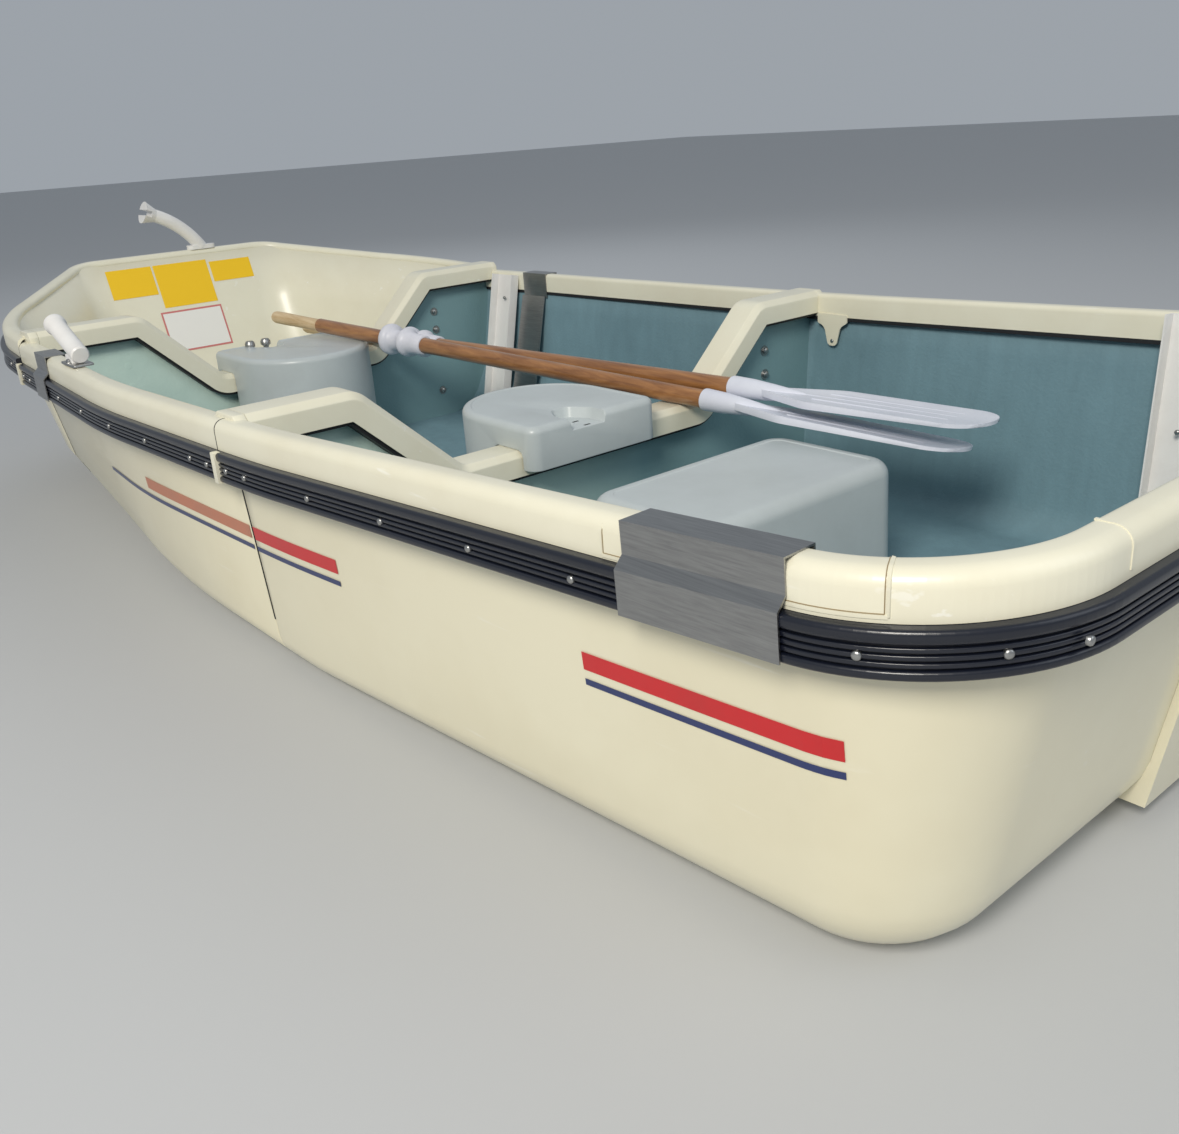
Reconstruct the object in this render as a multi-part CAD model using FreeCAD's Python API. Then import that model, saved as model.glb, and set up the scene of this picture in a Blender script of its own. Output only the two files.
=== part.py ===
import FreeCAD, Part
import math
import os

# Three-section fibreglass rowing boat: a bow, a middle and a stern section that stand end to end,
# each with its own bulkheads, bolted together under moulded cap rails. Millimetres.
# Frame: +X forward to the bow, +Y to port, +Z up. The origin is on the floor below the middle of
# the boat's overall box.

V = FreeCAD.Vector

# ---------------------------------------------------------------- driving dimensions
STERN_LENGTH = 1240.0        # transom gunwale to the rear joint
MIDDLE_LENGTH = 1181.0       # rear joint to the front joint
BOW_LENGTH = 745.0           # front joint to the bow gunwale
HALF_BEAM = 696.0            # outside of the gunwale at the widest corner of its outline
TRANSOM_INSET = 70.0         # the transom's corners, inboard of the widest corner
PRAM_INSET = 397.0           # the blunt bow's corners, inboard of the widest corner

HULL_WALL = 6.0              # laminate of the outer skins
LINER_WALL = 4.0             # inner skin of the bow
LINER_GAP = 10.0             # air between the bow's two skins
BULKHEAD_WALL = 6.0
JOINT_GAP = 1.0              # between the end walls of two sections

LOFT_TOP = 540.0             # height of the upper loft section, above every sheer
BILGE_HEIGHT = 123.0         # height of the middle loft section
EDGE_LEVELS = (6.0, 20.0, 45.0, 85.0)   # loft sections of the rounded bottom edge
LEVEL_STEP = 4.0             # a loft section closer than this to the floor is left out

GUNWALE_WIDTH = 38.0
GUNWALE_WALL = 4.0
GUNWALE_DROP = 44.0          # depth of the outer face of the gunwale
INNER_DROP = 47.0            # depth of the inner return of the gunwale
RAIL_HEIGHT = 45.0           # rub rail below the gunwale
RAIL_PROUD = 12.0            # rail outside of the gunwale face
RAIL_ROOT = 60.0             # how far the rail may reach inboard to the skin

STERN_SHEER = 457.0          # gunwale top heights along the boat
REAR_JOINT_SHEER = 409.0
FRONT_JOINT_SHEER = 399.0
BOW_AFT_SHEER = 410.0
BOW_MID_SHEER = 436.0
TIP_SHEER = 494.0

CAP_WALL = 5.0               # cap rails over the bulkheads
CAP_SKIRT = 50.0
CAP_HALF_WIDTH = 40.0
THRESHOLD = 248.0            # top of the low middle stretch of each cap
REAR_CAP_TOP = 416.0
FRONT_CAP_TOP = 421.0
REAR_FOOT = 282.0            # half widths of a cap's opening at its foot and head
REAR_HEAD = 464.0
FRONT_FOOT = 211.0
FRONT_HEAD = 387.0

SEAT_TOP = 293.0
SEAT_BOTTOM = 213.0
SEAT_FLAT_SIDE = 74.0        # joint to the straight side
SEAT_SPRING = 95.0           # joint to the centre of the round side
REAR_SEAT_WIDTH = 300.0
FRONT_SEAT_WIDTH = 334.0
REAR_SEAT_SHIFT = 18.0       # a seat's middle to port of the centreline
FRONT_SEAT_SHIFT = 26.0
SEAT_WALL = 5.0              # round skirt that reaches down to the floor
SEAT_FOOT_GAP = 2.0          # skirt's lower edge above the floor
SEAT_CORNER = 24.0
SEAT_EDGE = 14.0             # rounding of the seat's top edge
SEAT_NOTCH_GAP = 6.0         # fore and aft play of a seat on its cap
SEAT_REST = 0.3              # a seat's notch above its cap

BOX_TOP = 235.0              # moulded stern seat
BOX_LENGTH = 280.0
BOX_WIDTH = 470.0
BOX_FORWARD = 280.0          # rear joint to its forward edge
BOX_CORNER = 50.0
BOX_EDGE = 25.0
BOX_WALL = 5.0

BOLT_RADIUS = 5.0
BOLT_HEAD = 10.0
BOLT_HEAD_HEIGHT = 7.0
BOLT_ROOM = 20.0             # kept free of the liner in front of a bolt
BOLT_CLEAR = 1.0             # and around its head
REAR_BOLT_OUT = 511.0        # bolt rows' distance from the centreline
FRONT_BOLT_OUT = 431.0
BOLT_HEIGHTS = (80.0, 256.0, 307.0)

SHEET = 2.0                  # bent steel of the saddles and straps
SHEET_CLEAR = 0.3
STERN_SADDLE_LENGTH = 192.0
STERN_SADDLE_BACK = 962.0    # rear joint to the middle of a stern saddle
FRONT_SADDLE_LENGTH = 95.0
FRONT_SADDLE_BACK = 228.0    # front joint to the middle of a front saddle
SADDLE_LEG = 62.0            # inner leg of a saddle, below the gunwale's top
STRAP_LAP = 12.0             # a strap's head over its saddle's leg

POST_WIDTH = 88.0            # channel posts on the inner walls
POST_DEPTH = 26.0
POST_WALL = 3.0
POST_FOOT = 45.0             # height of a post's and a strap's lower end
FRONT_LEAN = 74.0            # foot of a front post or strap inboard of its head
STERN_LEAN = 22.5            # foot of a stern post inboard of its head
FRONT_POST_BACK = 121.0      # front joint to the middle of the front post
STERN_POST_BACK = 850.0      # rear joint to the middle of a stern post
LOOSE_POST_LENGTH = 330.0    # the post that lies on the port gunwale
LOOSE_POST_BACK = 280.0      # front joint to its middle
LOOSE_POST_WIDTH = 46.0
LOOSE_POST_HEIGHT = 20.0
LOOSE_POST_SKEW = 3.0        # degrees

PAD_HALF = 150.0             # raised pad on the transom
PAD_PROUD = 11.0
PAD_FOOT = 25.0
PAD_HEAD = 366.0

OAR_RADIUS = 18.5
GRIP_RADIUS = 17.0
GRIP_LENGTH = 215.0
SOCKET_DEPTH = 30.0          # shaft inside the blade's socket
SOCKET_RADIUS = 22.0
SOCKET_LENGTH = 150.0
BLADE_LENGTH = 552.0
BLADE_WIDTH = 145.0
BLADE_THICK = 14.0
BLADE_NECK = 13.0            # half width of the blade where it leaves the socket
BLADE_SHOULDER = 221.0       # socket to the blade's full width
COLLAR_AT = 515.0            # grip end to the collar
COLLAR_LENGTH = 140.0
COLLAR_TUBE = 25.0
COLLAR_RADIUS = 39.0
COLLAR_FLANGE = 21.0         # thickness of both flanges
COLLAR_SECOND_AT = 63.0      # collar's end to its second flange
COLLAR_SECOND_RADIUS = 35.0

HANDLE_SIDE = 79.0           # handle's foot to starboard of the centreline
HANDLE_FOOT_LENGTH = 84.0
HANDLE_FOOT_WIDTH = 34.0
HANDLE_FOOT_HEIGHT = 12.0
HANDLE_RADIUS = 19.0
HANDLE_REACH = 122.0         # foot to the free end, to port
HANDLE_RISE = 108.0
HANDLE_FLARE = 32.0
HANDLE_FLARE_LENGTH = 34.0
HANDLE_NOTCH = 16.0
HANDLE_NOTCH_AT = 14.0       # from the tube's end into the flare
HANDLE_BOW = 0.08            # arch of the tube, as a share of its span
HANDLE_CORNER = 15.3

OVER = 1.0                   # cutting bodies pass the faces they cut by this
NEAR = 0.1                   # edges this close to a plane lie on it

# ---------------------------------------------------------------- places along the boat
TRANSOM_X = -(STERN_LENGTH + MIDDLE_LENGTH + BOW_LENGTH) / 2.0
REAR_JOINT_X = TRANSOM_X + STERN_LENGTH
FRONT_JOINT_X = REAR_JOINT_X + MIDDLE_LENGTH
TIP_X = FRONT_JOINT_X + BOW_LENGTH
TRANSOM_HALF = HALF_BEAM - TRANSOM_INSET
PRAM_HALF = HALF_BEAM - PRAM_INSET

# Corners of the plan outlines, half the boat: along X, half breadth, corner radius.
# The hull skin is lofted through three of them; the gunwale stands on the fourth.
# corner: floor outline, bilge outline (None: on the line between the others), upper outline,
# radius of the rounded bottom edge
SKIN = {
    "quarter": ((TRANSOM_X + 89, TRANSOM_HALF - 50, 123), None,
                (TRANSOM_X - 4, TRANSOM_HALF - 4, 185), 85),
    "aft": ((REAR_JOINT_X - 100, HALF_BEAM - 54, 3900), None,
            (REAR_JOINT_X - 112, HALF_BEAM - 20, 3900), 42),
    "fore": ((REAR_JOINT_X + 459, HALF_BEAM - 47, 2800), None,
             (REAR_JOINT_X + 503, HALF_BEAM - 10, 2800), 55),
    "shoulder": ((FRONT_JOINT_X + 150, HALF_BEAM - 196, 600), (FRONT_JOINT_X + 230, HALF_BEAM - 126, 550),
                 (FRONT_JOINT_X + 295, HALF_BEAM - 42, 590), 60),
    "stem": ((TIP_X - 345, PRAM_HALF - 69, 200), (TIP_X - 145, PRAM_HALF - 39, 170),
             (TIP_X + 5, PRAM_HALF - 3, 120), 60),
}
GUNWALE = (
    (TRANSOM_X, TRANSOM_HALF, 190),
    (REAR_JOINT_X - 112, HALF_BEAM - 11, 3900),
    (REAR_JOINT_X + 503, HALF_BEAM, 2800),
    (FRONT_JOINT_X + 283, HALF_BEAM - 56, 600),
    (TIP_X, PRAM_HALF, 120),
)

# oar: name, a point of its axis near the front seat, a point over the rear cap,
# distances from the first point to the grip's end and from the second to the blade
OARS = (
    ("port_oar", V(FRONT_JOINT_X - 157, -111, SEAT_TOP + OAR_RADIUS + 0.4),
     V(REAR_JOINT_X, -237.7, THRESHOLD + OAR_RADIUS + 2.3), 392.0, 118.0),
    ("starboard_oar", V(FRONT_JOINT_X, -209, THRESHOLD + 27.0), V(REAR_JOINT_X, -289.8, THRESHOLD + 35.4),
     313.0, 146.0),
)
BLADE_TILT = 10.0            # both blades' starboard edges lie low


def save(name, shape):
    shape.exportStep("parts/" + name + ".step")


# ---------------------------------------------------------------- outlines
def offset_corners(corners, distances):
    """The full closed outline's corners, each moved outward by its distance: (x, y, radius)."""
    port = [(x, y, r, distance) for (x, y, r), distance in zip(corners, distances)]
    full = port + [(x, -y, r, distance) for x, y, r, distance in reversed(port)]
    count = len(full)
    moved = []
    for i in range(count):
        ax, ay, _, _ = full[i - 1]
        bx, by, radius, distance = full[i]
        cx, cy, _, _ = full[(i + 1) % count]
        n1 = outward(ax, ay, bx, by)
        n2 = outward(bx, by, cx, cy)
        scale = distance / (1.0 + n1[0] * n2[0] + n1[1] * n2[1])
        moved.append((bx + (n1[0] + n2[0]) * scale, by + (n1[1] + n2[1]) * scale, radius + distance))
    return moved


def outward(ax, ay, bx, by):
    """Unit normal on the left of a run, which is outside for an outline that runs clockwise."""
    length = math.hypot(bx - ax, by - ay)
    return (-(by - ay) / length, (bx - ax) / length)


def rounded_wire(corners, z):
    """A closed wire at height z through rounded corners."""
    count = len(corners)
    starts = []
    mids = []
    ends = []
    for i in range(count):
        ax, ay, _ = corners[i - 1]
        bx, by, radius = corners[i]
        cx, cy, _ = corners[(i + 1) % count]
        u = V(ax - bx, ay - by, 0).normalize()
        w = V(cx - bx, cy - by, 0).normalize()
        half = math.acos(max(-1.0, min(1.0, u.dot(w)))) / 2.0
        reach = radius / math.tan(half)
        middle = (u + w).normalize()
        corner = V(bx, by, z)
        centre = corner + middle * (radius / math.sin(half))
        starts.append(corner + u * reach)
        mids.append(centre - middle * radius)
        ends.append(corner + w * reach)
    edges = []
    for i in range(count):
        edges.append(Part.Arc(starts[i], mids[i], ends[i]).toShape())
        edges.append(Part.LineSegment(ends[i], starts[(i + 1) % count]).toShape())
    return Part.Wire(edges)


def skin_corners(z, inset):
    """Corners of the hull skin's outline at a height, its surface moved in by inset."""
    corners = []
    distances = []
    for low, middle, high, edge in SKIN.values():
        if middle is None:
            middle = tuple(a + (b - a) * BILGE_HEIGHT / LOFT_TOP for a, b in zip(low, high))
        if z < BILGE_HEIGHT:
            below, above, share = low, middle, z / BILGE_HEIGHT
        else:
            below, above, share = middle, high, (z - BILGE_HEIGHT) / (LOFT_TOP - BILGE_HEIGHT)
        corners.append(tuple(a + (b - a) * share for a, b in zip(below, above)))
        drop = max(0.0, edge - z)
        distances.append(math.sqrt((edge - inset) ** 2 - drop ** 2) - edge)
    return offset_corners(corners, distances)


def skin_solid(inset, floor):
    """The hull's solid body, its sides moved in by inset and its bottom lifted to floor."""
    heights = [floor] + [z for z in EDGE_LEVELS if z > floor + LEVEL_STEP] + [BILGE_HEIGHT, LOFT_TOP]
    wires = [rounded_wire(skin_corners(z, inset), z) for z in heights]
    return Part.makeLoft(wires, True, True)


def gunwale_corners(outside):
    """Corners of the gunwale's outline at a distance outside of it."""
    return offset_corners(GUNWALE, [outside] * len(GUNWALE))


def ring(outside, inside):
    """A wall on the gunwale's outline, between two distances outside of it."""
    outer = Part.Face(rounded_wire(gunwale_corners(outside), 0)).extrude(V(0, 0, LOFT_TOP))
    inner = Part.Face(rounded_wire(gunwale_corners(inside), -OVER))
    inner = inner.extrude(V(0, 0, LOFT_TOP + 2 * OVER))
    return outer.cut(inner)


# ---------------------------------------------------------------- sheer
WIDE = 900.0                 # half breadth of cutting bodies, beyond every side
END_MARGIN = 40.0            # cutting bodies run past both ends by this

AFT_SHEER = (
    V(TRANSOM_X, 0, STERN_SHEER),
    V(REAR_JOINT_X, 0, REAR_JOINT_SHEER),
    V(FRONT_JOINT_X, 0, FRONT_JOINT_SHEER),
)
BOW_SHEER = (
    V(FRONT_JOINT_X, 0, BOW_AFT_SHEER),
    V(FRONT_JOINT_X + BOW_LENGTH / 2.0, 0, BOW_MID_SHEER),
    V(TIP_X, 0, TIP_SHEER),
)


def arc_height(points, x):
    """Height and slope at x of the circle through three points of a sheer."""
    curve = Part.Arc(*points).toShape().Curve
    centre = curve.Center
    rise = math.sqrt(curve.Radius ** 2 - (x - centre.x) ** 2)
    return centre.z - rise, (x - centre.x) / rise


def sheer_band(points, low, high):
    """Everything between two heights measured from a sheer, across the whole boat."""
    ends = (points[0].x - END_MARGIN, points[2].x + END_MARGIN)
    long = [V(ends[0], 0, arc_height(points, ends[0])[0]), points[1],
            V(ends[1], 0, arc_height(points, ends[1])[0])]
    upper = [p + V(0, -WIDE, high) for p in long]
    lower = [p + V(0, -WIDE, low) for p in long]
    edges = [
        Part.Arc(*upper).toShape(),
        Part.LineSegment(upper[2], lower[2]).toShape(),
        Part.Arc(*lower).toShape(),
        Part.LineSegment(lower[0], upper[0]).toShape(),
    ]
    face = Part.Face(Part.Wire(Part.__sortEdges__(edges)))
    return face.extrude(V(0, 2 * WIDE, 0))


# section: name, sheer, aft end, forward end
SECTIONS = (
    ("stern", AFT_SHEER, TRANSOM_X - END_MARGIN, REAR_JOINT_X - JOINT_GAP / 2.0),
    ("middle", AFT_SHEER, REAR_JOINT_X + JOINT_GAP / 2.0, FRONT_JOINT_X - JOINT_GAP / 2.0),
    ("bow", BOW_SHEER, FRONT_JOINT_X + JOINT_GAP / 2.0, TIP_X + END_MARGIN),
)


def slab(low_x, high_x):
    """Everything between two stations."""
    return Part.makeBox(high_x - low_x, 2 * WIDE, LOFT_TOP + 2 * OVER, V(low_x, -WIDE, -OVER))


def under_gunwale(sheer):
    """The room that a gunwale takes, which the walls beside it leave out."""
    return ring(0, -GUNWALE_WIDTH).common(sheer_band(sheer, -INNER_DROP, 0))


def make_shells():
    outer = skin_solid(0, 0)
    inner = skin_solid(HULL_WALL, HULL_WALL)
    shell = outer.cut(inner)
    for name, sheer, low_x, high_x in SECTIONS:
        below = sheer_band(sheer, -LOFT_TOP, -GUNWALE_WALL)
        part = shell.common(slab(low_x, high_x)).common(below)
        save(name + "_hull", part)
    return inner


def make_rims():
    top = ring(0, -GUNWALE_WIDTH)
    outer_face = ring(0, -GUNWALE_WALL)
    inner_face = ring(-GUNWALE_WIDTH + GUNWALE_WALL, -GUNWALE_WIDTH)
    rail = ring(RAIL_PROUD, -RAIL_ROOT)
    for name, sheer, low_x, high_x in SECTIONS:
        cut = slab(low_x, high_x)
        rim = top.common(sheer_band(sheer, -GUNWALE_WALL, 0))
        rim = rim.fuse(outer_face.common(sheer_band(sheer, -GUNWALE_DROP, 0)))
        if name != "bow":
            rim = rim.fuse(inner_face.common(sheer_band(sheer, -INNER_DROP, 0)))
        save(name + "_gunwale", rim.common(cut).removeSplitter())
        strip = rail.common(sheer_band(sheer, -GUNWALE_DROP - RAIL_HEIGHT, -GUNWALE_DROP))
        save(name + "_rub_rail", strip.common(cut).cut(skin_solid(0, 0)).removeSplitter())


def cap_line(top, shift, out_low, out_high, edge):
    """Corners of a cap's top line from starboard to port, lowered by shift."""
    half = ((edge, top), (out_high, top), (out_low, THRESHOLD))
    port = [(y, z - shift) for y, z in half]
    return [(-y, z) for y, z in port] + list(reversed(port))


def prism(points, low_x, high_x):
    """A Y-Z outline stretched along X."""
    wire = Part.makePolygon([V(low_x, y, z) for y, z in points] + [V(low_x, *points[0])])
    return Part.Face(wire).extrude(V(high_x - low_x, 0, 0))


def cap_band(top, upper, lower, out_low, out_high, edge, low_x, high_x):
    """The stretch of a cap between two depths under its top line."""
    points = cap_line(top, upper, out_low, out_high, edge)
    points += list(reversed(cap_line(top, lower, out_low, out_high, edge)))
    return prism(points, low_x, high_x)


# cap: name, joint, height at the gunwales, half widths of the opening at its foot and head
CAPS = (
    ("rear", REAR_JOINT_X, REAR_CAP_TOP, REAR_FOOT, REAR_HEAD, "stern", "middle"),
    ("front", FRONT_JOINT_X, FRONT_CAP_TOP, FRONT_FOOT, FRONT_HEAD, "middle", "bow"),
)


def make_caps(inner):
    inside = Part.Face(rounded_wire(gunwale_corners(-GUNWALE_WIDTH), 0))
    inside = inside.extrude(V(0, 0, LOFT_TOP))
    gunwale_room = {section: under_gunwale(sheer) for section, sheer, *_ in SECTIONS}
    for name, joint, top, out_low, out_high, aft, fore in CAPS:
        low_x = joint - CAP_HALF_WIDTH
        high_x = joint + CAP_HALF_WIDTH
        outer = cap_band(top, 0, CAP_SKIRT, out_low, out_high, WIDE, low_x, high_x)
        hollow = cap_band(top, CAP_WALL, CAP_SKIRT + OVER, out_low, out_high, WIDE,
                          low_x + CAP_WALL, high_x - CAP_WALL)
        save(name + "_joint_cap", outer.cut(hollow).common(inside))
        below = prism(cap_line(top, CAP_WALL, out_low, out_high, WIDE) + [(WIDE, -OVER), (-WIDE, -OVER)],
                      low_x, high_x)
        gap = JOINT_GAP / 2.0
        ends = ((aft, joint - gap - BULKHEAD_WALL, "front"), (fore, joint + gap, "rear"))
        for section, start, side in ends:
            wall = inner.common(slab(start, start + BULKHEAD_WALL)).common(below)
            wall = wall.cut(bolt_holes(name, joint)).cut(gunwale_room[section])
            save(section + "_" + side + "_bulkhead", wall)


def bolt_places(name):
    out = REAR_BOLT_OUT if name == "rear" else FRONT_BOLT_OUT
    return [(side * out, z) for side in (-1, 1) for z in BOLT_HEIGHTS]


def bolt_holes(name, joint):
    holes = [Part.makeCylinder(BOLT_RADIUS, 2 * CAP_HALF_WIDTH, V(joint - CAP_HALF_WIDTH, y, z), V(1, 0, 0))
             for y, z in bolt_places(name)]
    return holes[0].multiFuse(holes[1:])


def make_bolts():
    reach = BULKHEAD_WALL + JOINT_GAP / 2.0
    for name, joint, *_ in CAPS:
        bolts = []
        for y, z in bolt_places(name):
            shank = Part.makeCylinder(BOLT_RADIUS, 2 * reach, V(joint - reach, y, z), V(1, 0, 0))
            for x in (joint - reach - BOLT_HEAD_HEIGHT, joint + reach):
                head = Part.makeCylinder(BOLT_HEAD, BOLT_HEAD_HEIGHT, V(x, y, z), V(1, 0, 0))
                shank = shank.fuse(head)
            bolts.append(shank)
        save(name + "_joint_bolts", Part.makeCompound(bolts))


# ---------------------------------------------------------------- seats
def upright_edges(shape):
    """Edges that stand along Z."""
    return [e for e in shape.Edges if e.BoundBox.XLength < NEAR and e.BoundBox.YLength < NEAR]


def top_edges(shape):
    """Edges around the top face."""
    top = shape.BoundBox.ZMax
    return [e for e in shape.Edges if e.BoundBox.ZMin > top - NEAR]


def seat_plan(back, half, low, high):
    """A body between two heights: straight at x = back, round about the seat's spring."""
    points = [V(back, -half, low), V(SEAT_SPRING, -half, low), V(SEAT_SPRING + half, 0, low),
              V(SEAT_SPRING, half, low), V(back, half, low)]
    edges = [
        Part.LineSegment(points[0], points[1]).toShape(),
        Part.Arc(points[1], points[2], points[3]).toShape(),
        Part.LineSegment(points[3], points[4]).toShape(),
        Part.LineSegment(points[4], points[0]).toShape(),
    ]
    return Part.Face(Part.Wire(edges)).extrude(V(0, 0, high - low))


def seat_body(joint, side, width, shift):
    """A small seat over a cap: straight on one side, with a deep skirt on its round side."""
    half = width / 2.0
    body = seat_plan(-SEAT_FLAT_SIDE, half, SEAT_BOTTOM, SEAT_TOP)
    flat_corners = [e for e in upright_edges(body) if e.BoundBox.Center.x < 0]
    body = body.makeFillet(SEAT_CORNER, flat_corners)
    body = body.makeFillet(SEAT_EDGE, top_edges(body))
    notch_half = CAP_HALF_WIDTH + SEAT_NOTCH_GAP
    notch = Part.makeBox(2 * notch_half, 2 * width, THRESHOLD + SEAT_REST - SEAT_BOTTOM + OVER,
                         V(-notch_half, -width, SEAT_BOTTOM - OVER))
    body = body.cut(notch)
    foot = HULL_WALL + SEAT_FOOT_GAP
    skirt = seat_plan(notch_half, half, foot, SEAT_BOTTOM)
    skirt = skirt.cut(seat_plan(notch_half - OVER, half - SEAT_WALL, foot - OVER, SEAT_BOTTOM + OVER))
    body = body.fuse(skirt).removeSplitter()
    if side < 0:
        body.rotate(V(0, 0, 0), V(0, 0, 1), 180)
    body.translate(V(joint, shift, 0))
    return body


def make_seats():
    save("rear_seat", seat_body(REAR_JOINT_X, 1, REAR_SEAT_WIDTH, REAR_SEAT_SHIFT))
    save("front_seat", seat_body(FRONT_JOINT_X, -1, FRONT_SEAT_WIDTH, FRONT_SEAT_SHIFT))
    low_x = REAR_JOINT_X - BOX_FORWARD - BOX_LENGTH
    box = Part.makeBox(BOX_LENGTH, BOX_WIDTH, BOX_TOP - HULL_WALL, V(low_x, -BOX_WIDTH / 2.0, HULL_WALL))
    box = box.makeFillet(BOX_CORNER, upright_edges(box))
    box = box.makeFillet(BOX_EDGE, top_edges(box))
    start = V(low_x + BOX_WALL, -BOX_WIDTH / 2.0 + BOX_WALL, HULL_WALL)
    hollow = Part.makeBox(BOX_LENGTH - 2 * BOX_WALL, BOX_WIDTH - 2 * BOX_WALL,
                          BOX_TOP - BOX_WALL - start.z, start)
    hollow = hollow.makeFillet(BOX_CORNER - BOX_WALL, upright_edges(hollow))
    hollow = hollow.makeFillet(BOX_EDGE - BOX_WALL, top_edges(hollow))
    save("stern_seat", box.cut(hollow))


# ---------------------------------------------------------------- fittings on the gunwales
def gunwale_frame(x):
    """Half breadth and yaw of the gunwale's face, and height and pitch of its top, at x."""
    for (ax, ay, _), (bx, by, _) in zip(GUNWALE, GUNWALE[1:]):
        if ax <= x <= bx:
            slope = (by - ay) / (bx - ax)
            z, pitch = arc_height(AFT_SHEER if x < FRONT_JOINT_X else BOW_SHEER, x)
            return ay + slope * (x - ax), math.degrees(math.atan(slope)), z, math.degrees(math.atan(pitch))


def place_on_gunwale(shape, x, side):
    """Move a shape made at the origin (x along, y outboard, z up) onto the gunwale at x."""
    y, yaw, z, pitch = gunwale_frame(x)
    shape.rotate(V(0, 0, 0), V(0, 1, 0), -pitch)
    shape.rotate(V(0, 0, 0), V(0, 0, 1), yaw)
    shape.translate(V(x, y, z))
    if side < 0:
        shape = shape.mirror(V(0, 0, 0), V(0, 1, 0))
    return shape


def saddle(length):
    """A bent sheet over the gunwale: outboard distance, height from the gunwale's top."""
    t = SHEET
    inner = -GUNWALE_WIDTH - SHEET_CLEAR
    outer = SHEET_CLEAR
    rail = RAIL_PROUD + SHEET_CLEAR
    knee = -GUNWALE_DROP + RAIL_PROUD
    foot = -GUNWALE_DROP - RAIL_HEIGHT
    ledge = -GUNWALE_DROP + SHEET_CLEAR
    outside = [(inner - t, -SADDLE_LEG), (inner - t, outer + t), (outer + t, outer + t),
               (outer + t, knee + t / 2.0), (rail + t, ledge + t / 2.0), (rail + t, foot)]
    inside = [(inner, -SADDLE_LEG), (inner, SHEET_CLEAR), (outer, SHEET_CLEAR),
              (outer, knee), (rail, ledge), (rail, foot)]
    return prism(outside + list(reversed(inside)), -length / 2.0, length / 2.0)


def channel(width, depth, wall, height):
    """A U channel from the origin up, its back on y = 0 and its lips inboard."""
    block = Part.makeBox(width, depth, height, V(-width / 2.0, -depth, 0))
    groove = Part.makeBox(width - 2 * wall, depth - wall + OVER, height + 2 * OVER,
                          V(-width / 2.0 + wall, -depth - OVER, -OVER))
    return block.cut(groove)


def lean_on_wall(shape, height, x, side, lean, off):
    """Stand a shape of this height on the inner wall at x, its foot further inboard by lean."""
    y, yaw, _, _ = gunwale_frame(x)
    shape.rotate(V(0, 0, 0), V(1, 0, 0), -math.degrees(math.asin(lean / height)))
    shape.rotate(V(0, 0, 0), V(0, 0, 1), yaw)
    shape.translate(V(x, y - GUNWALE_WIDTH - off - lean, POST_FOOT))
    if side < 0:
        shape = shape.mirror(V(0, 0, 0), V(0, 1, 0))
    return shape


def make_fittings():
    stern_x = REAR_JOINT_X - STERN_SADDLE_BACK
    front_x = FRONT_JOINT_X - FRONT_SADDLE_BACK
    for side, word in ((1, "port"), (-1, "starboard")):
        save(word + "_stern_saddle", place_on_gunwale(saddle(STERN_SADDLE_LENGTH), stern_x, side))
        save(word + "_front_saddle", place_on_gunwale(saddle(FRONT_SADDLE_LENGTH), front_x, side))

    over_sheet = SHEET + 2 * SHEET_CLEAR
    height = gunwale_frame(front_x)[2] - SADDLE_LEG + STRAP_LAP - POST_FOOT
    straps = []
    for side in (1, -1):
        strap = Part.makeBox(FRONT_SADDLE_LENGTH, SHEET, height, V(-FRONT_SADDLE_LENGTH / 2.0, -SHEET, 0))
        straps.append(lean_on_wall(strap, height, front_x, side, FRONT_LEAN, over_sheet))
    save("front_saddle_straps", Part.makeCompound(straps))

    stern_post_x = REAR_JOINT_X - STERN_POST_BACK
    front_post_x = FRONT_JOINT_X - FRONT_POST_BACK
    # post: name, station, side, foot's lean, distance from the gunwale's return
    for name, x, side, lean, off in (
        ("port_stern_post", stern_post_x, 1, STERN_LEAN, over_sheet),
        ("starboard_stern_post", stern_post_x, -1, STERN_LEAN, over_sheet),
        ("starboard_front_post", front_post_x, -1, FRONT_LEAN, SHEET_CLEAR),
    ):
        height = gunwale_frame(x)[2] - POST_FOOT
        post = channel(POST_WIDTH, POST_DEPTH, POST_WALL, height)
        save(name, lean_on_wall(post, height, x, side, lean, off))

    loose = channel(LOOSE_POST_WIDTH, LOOSE_POST_HEIGHT, POST_WALL, LOOSE_POST_LENGTH)
    loose.translate(V(0, 0, -LOOSE_POST_LENGTH / 2.0))
    loose.rotate(V(0, 0, 0), V(0, 1, 0), 90)
    loose.rotate(V(0, 0, 0), V(1, 0, 0), 90)
    loose.translate(V(0, 0, LOOSE_POST_HEIGHT))
    loose.rotate(V(0, 0, 0), V(0, 0, 1), LOOSE_POST_SKEW)
    loose.translate(V(0, -GUNWALE_WIDTH / 2.0, SHEET + 3 * SHEET_CLEAR))
    save("port_front_post", place_on_gunwale(loose, FRONT_JOINT_X - LOOSE_POST_BACK, 1))


def make_transom_pad():
    """A raised pad for an outboard's clamp, on the outside of the transom."""
    low, _, high, edge = SKIN["quarter"]
    points = []
    for z in (PAD_FOOT, PAD_HEAD):
        points.append((low[0] + (high[0] - low[0]) * z / LOFT_TOP - PAD_PROUD, z))
    outline = [V(x, -PAD_HALF, z) for x, z in points]
    outline += [V(x + edge, -PAD_HALF, z) for x, z in reversed(points)]
    pad = Part.Face(Part.makePolygon(outline + outline[:1])).extrude(V(0, 2 * PAD_HALF, 0))
    save("transom_pad", pad.cut(skin_solid(0, 0)))


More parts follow.
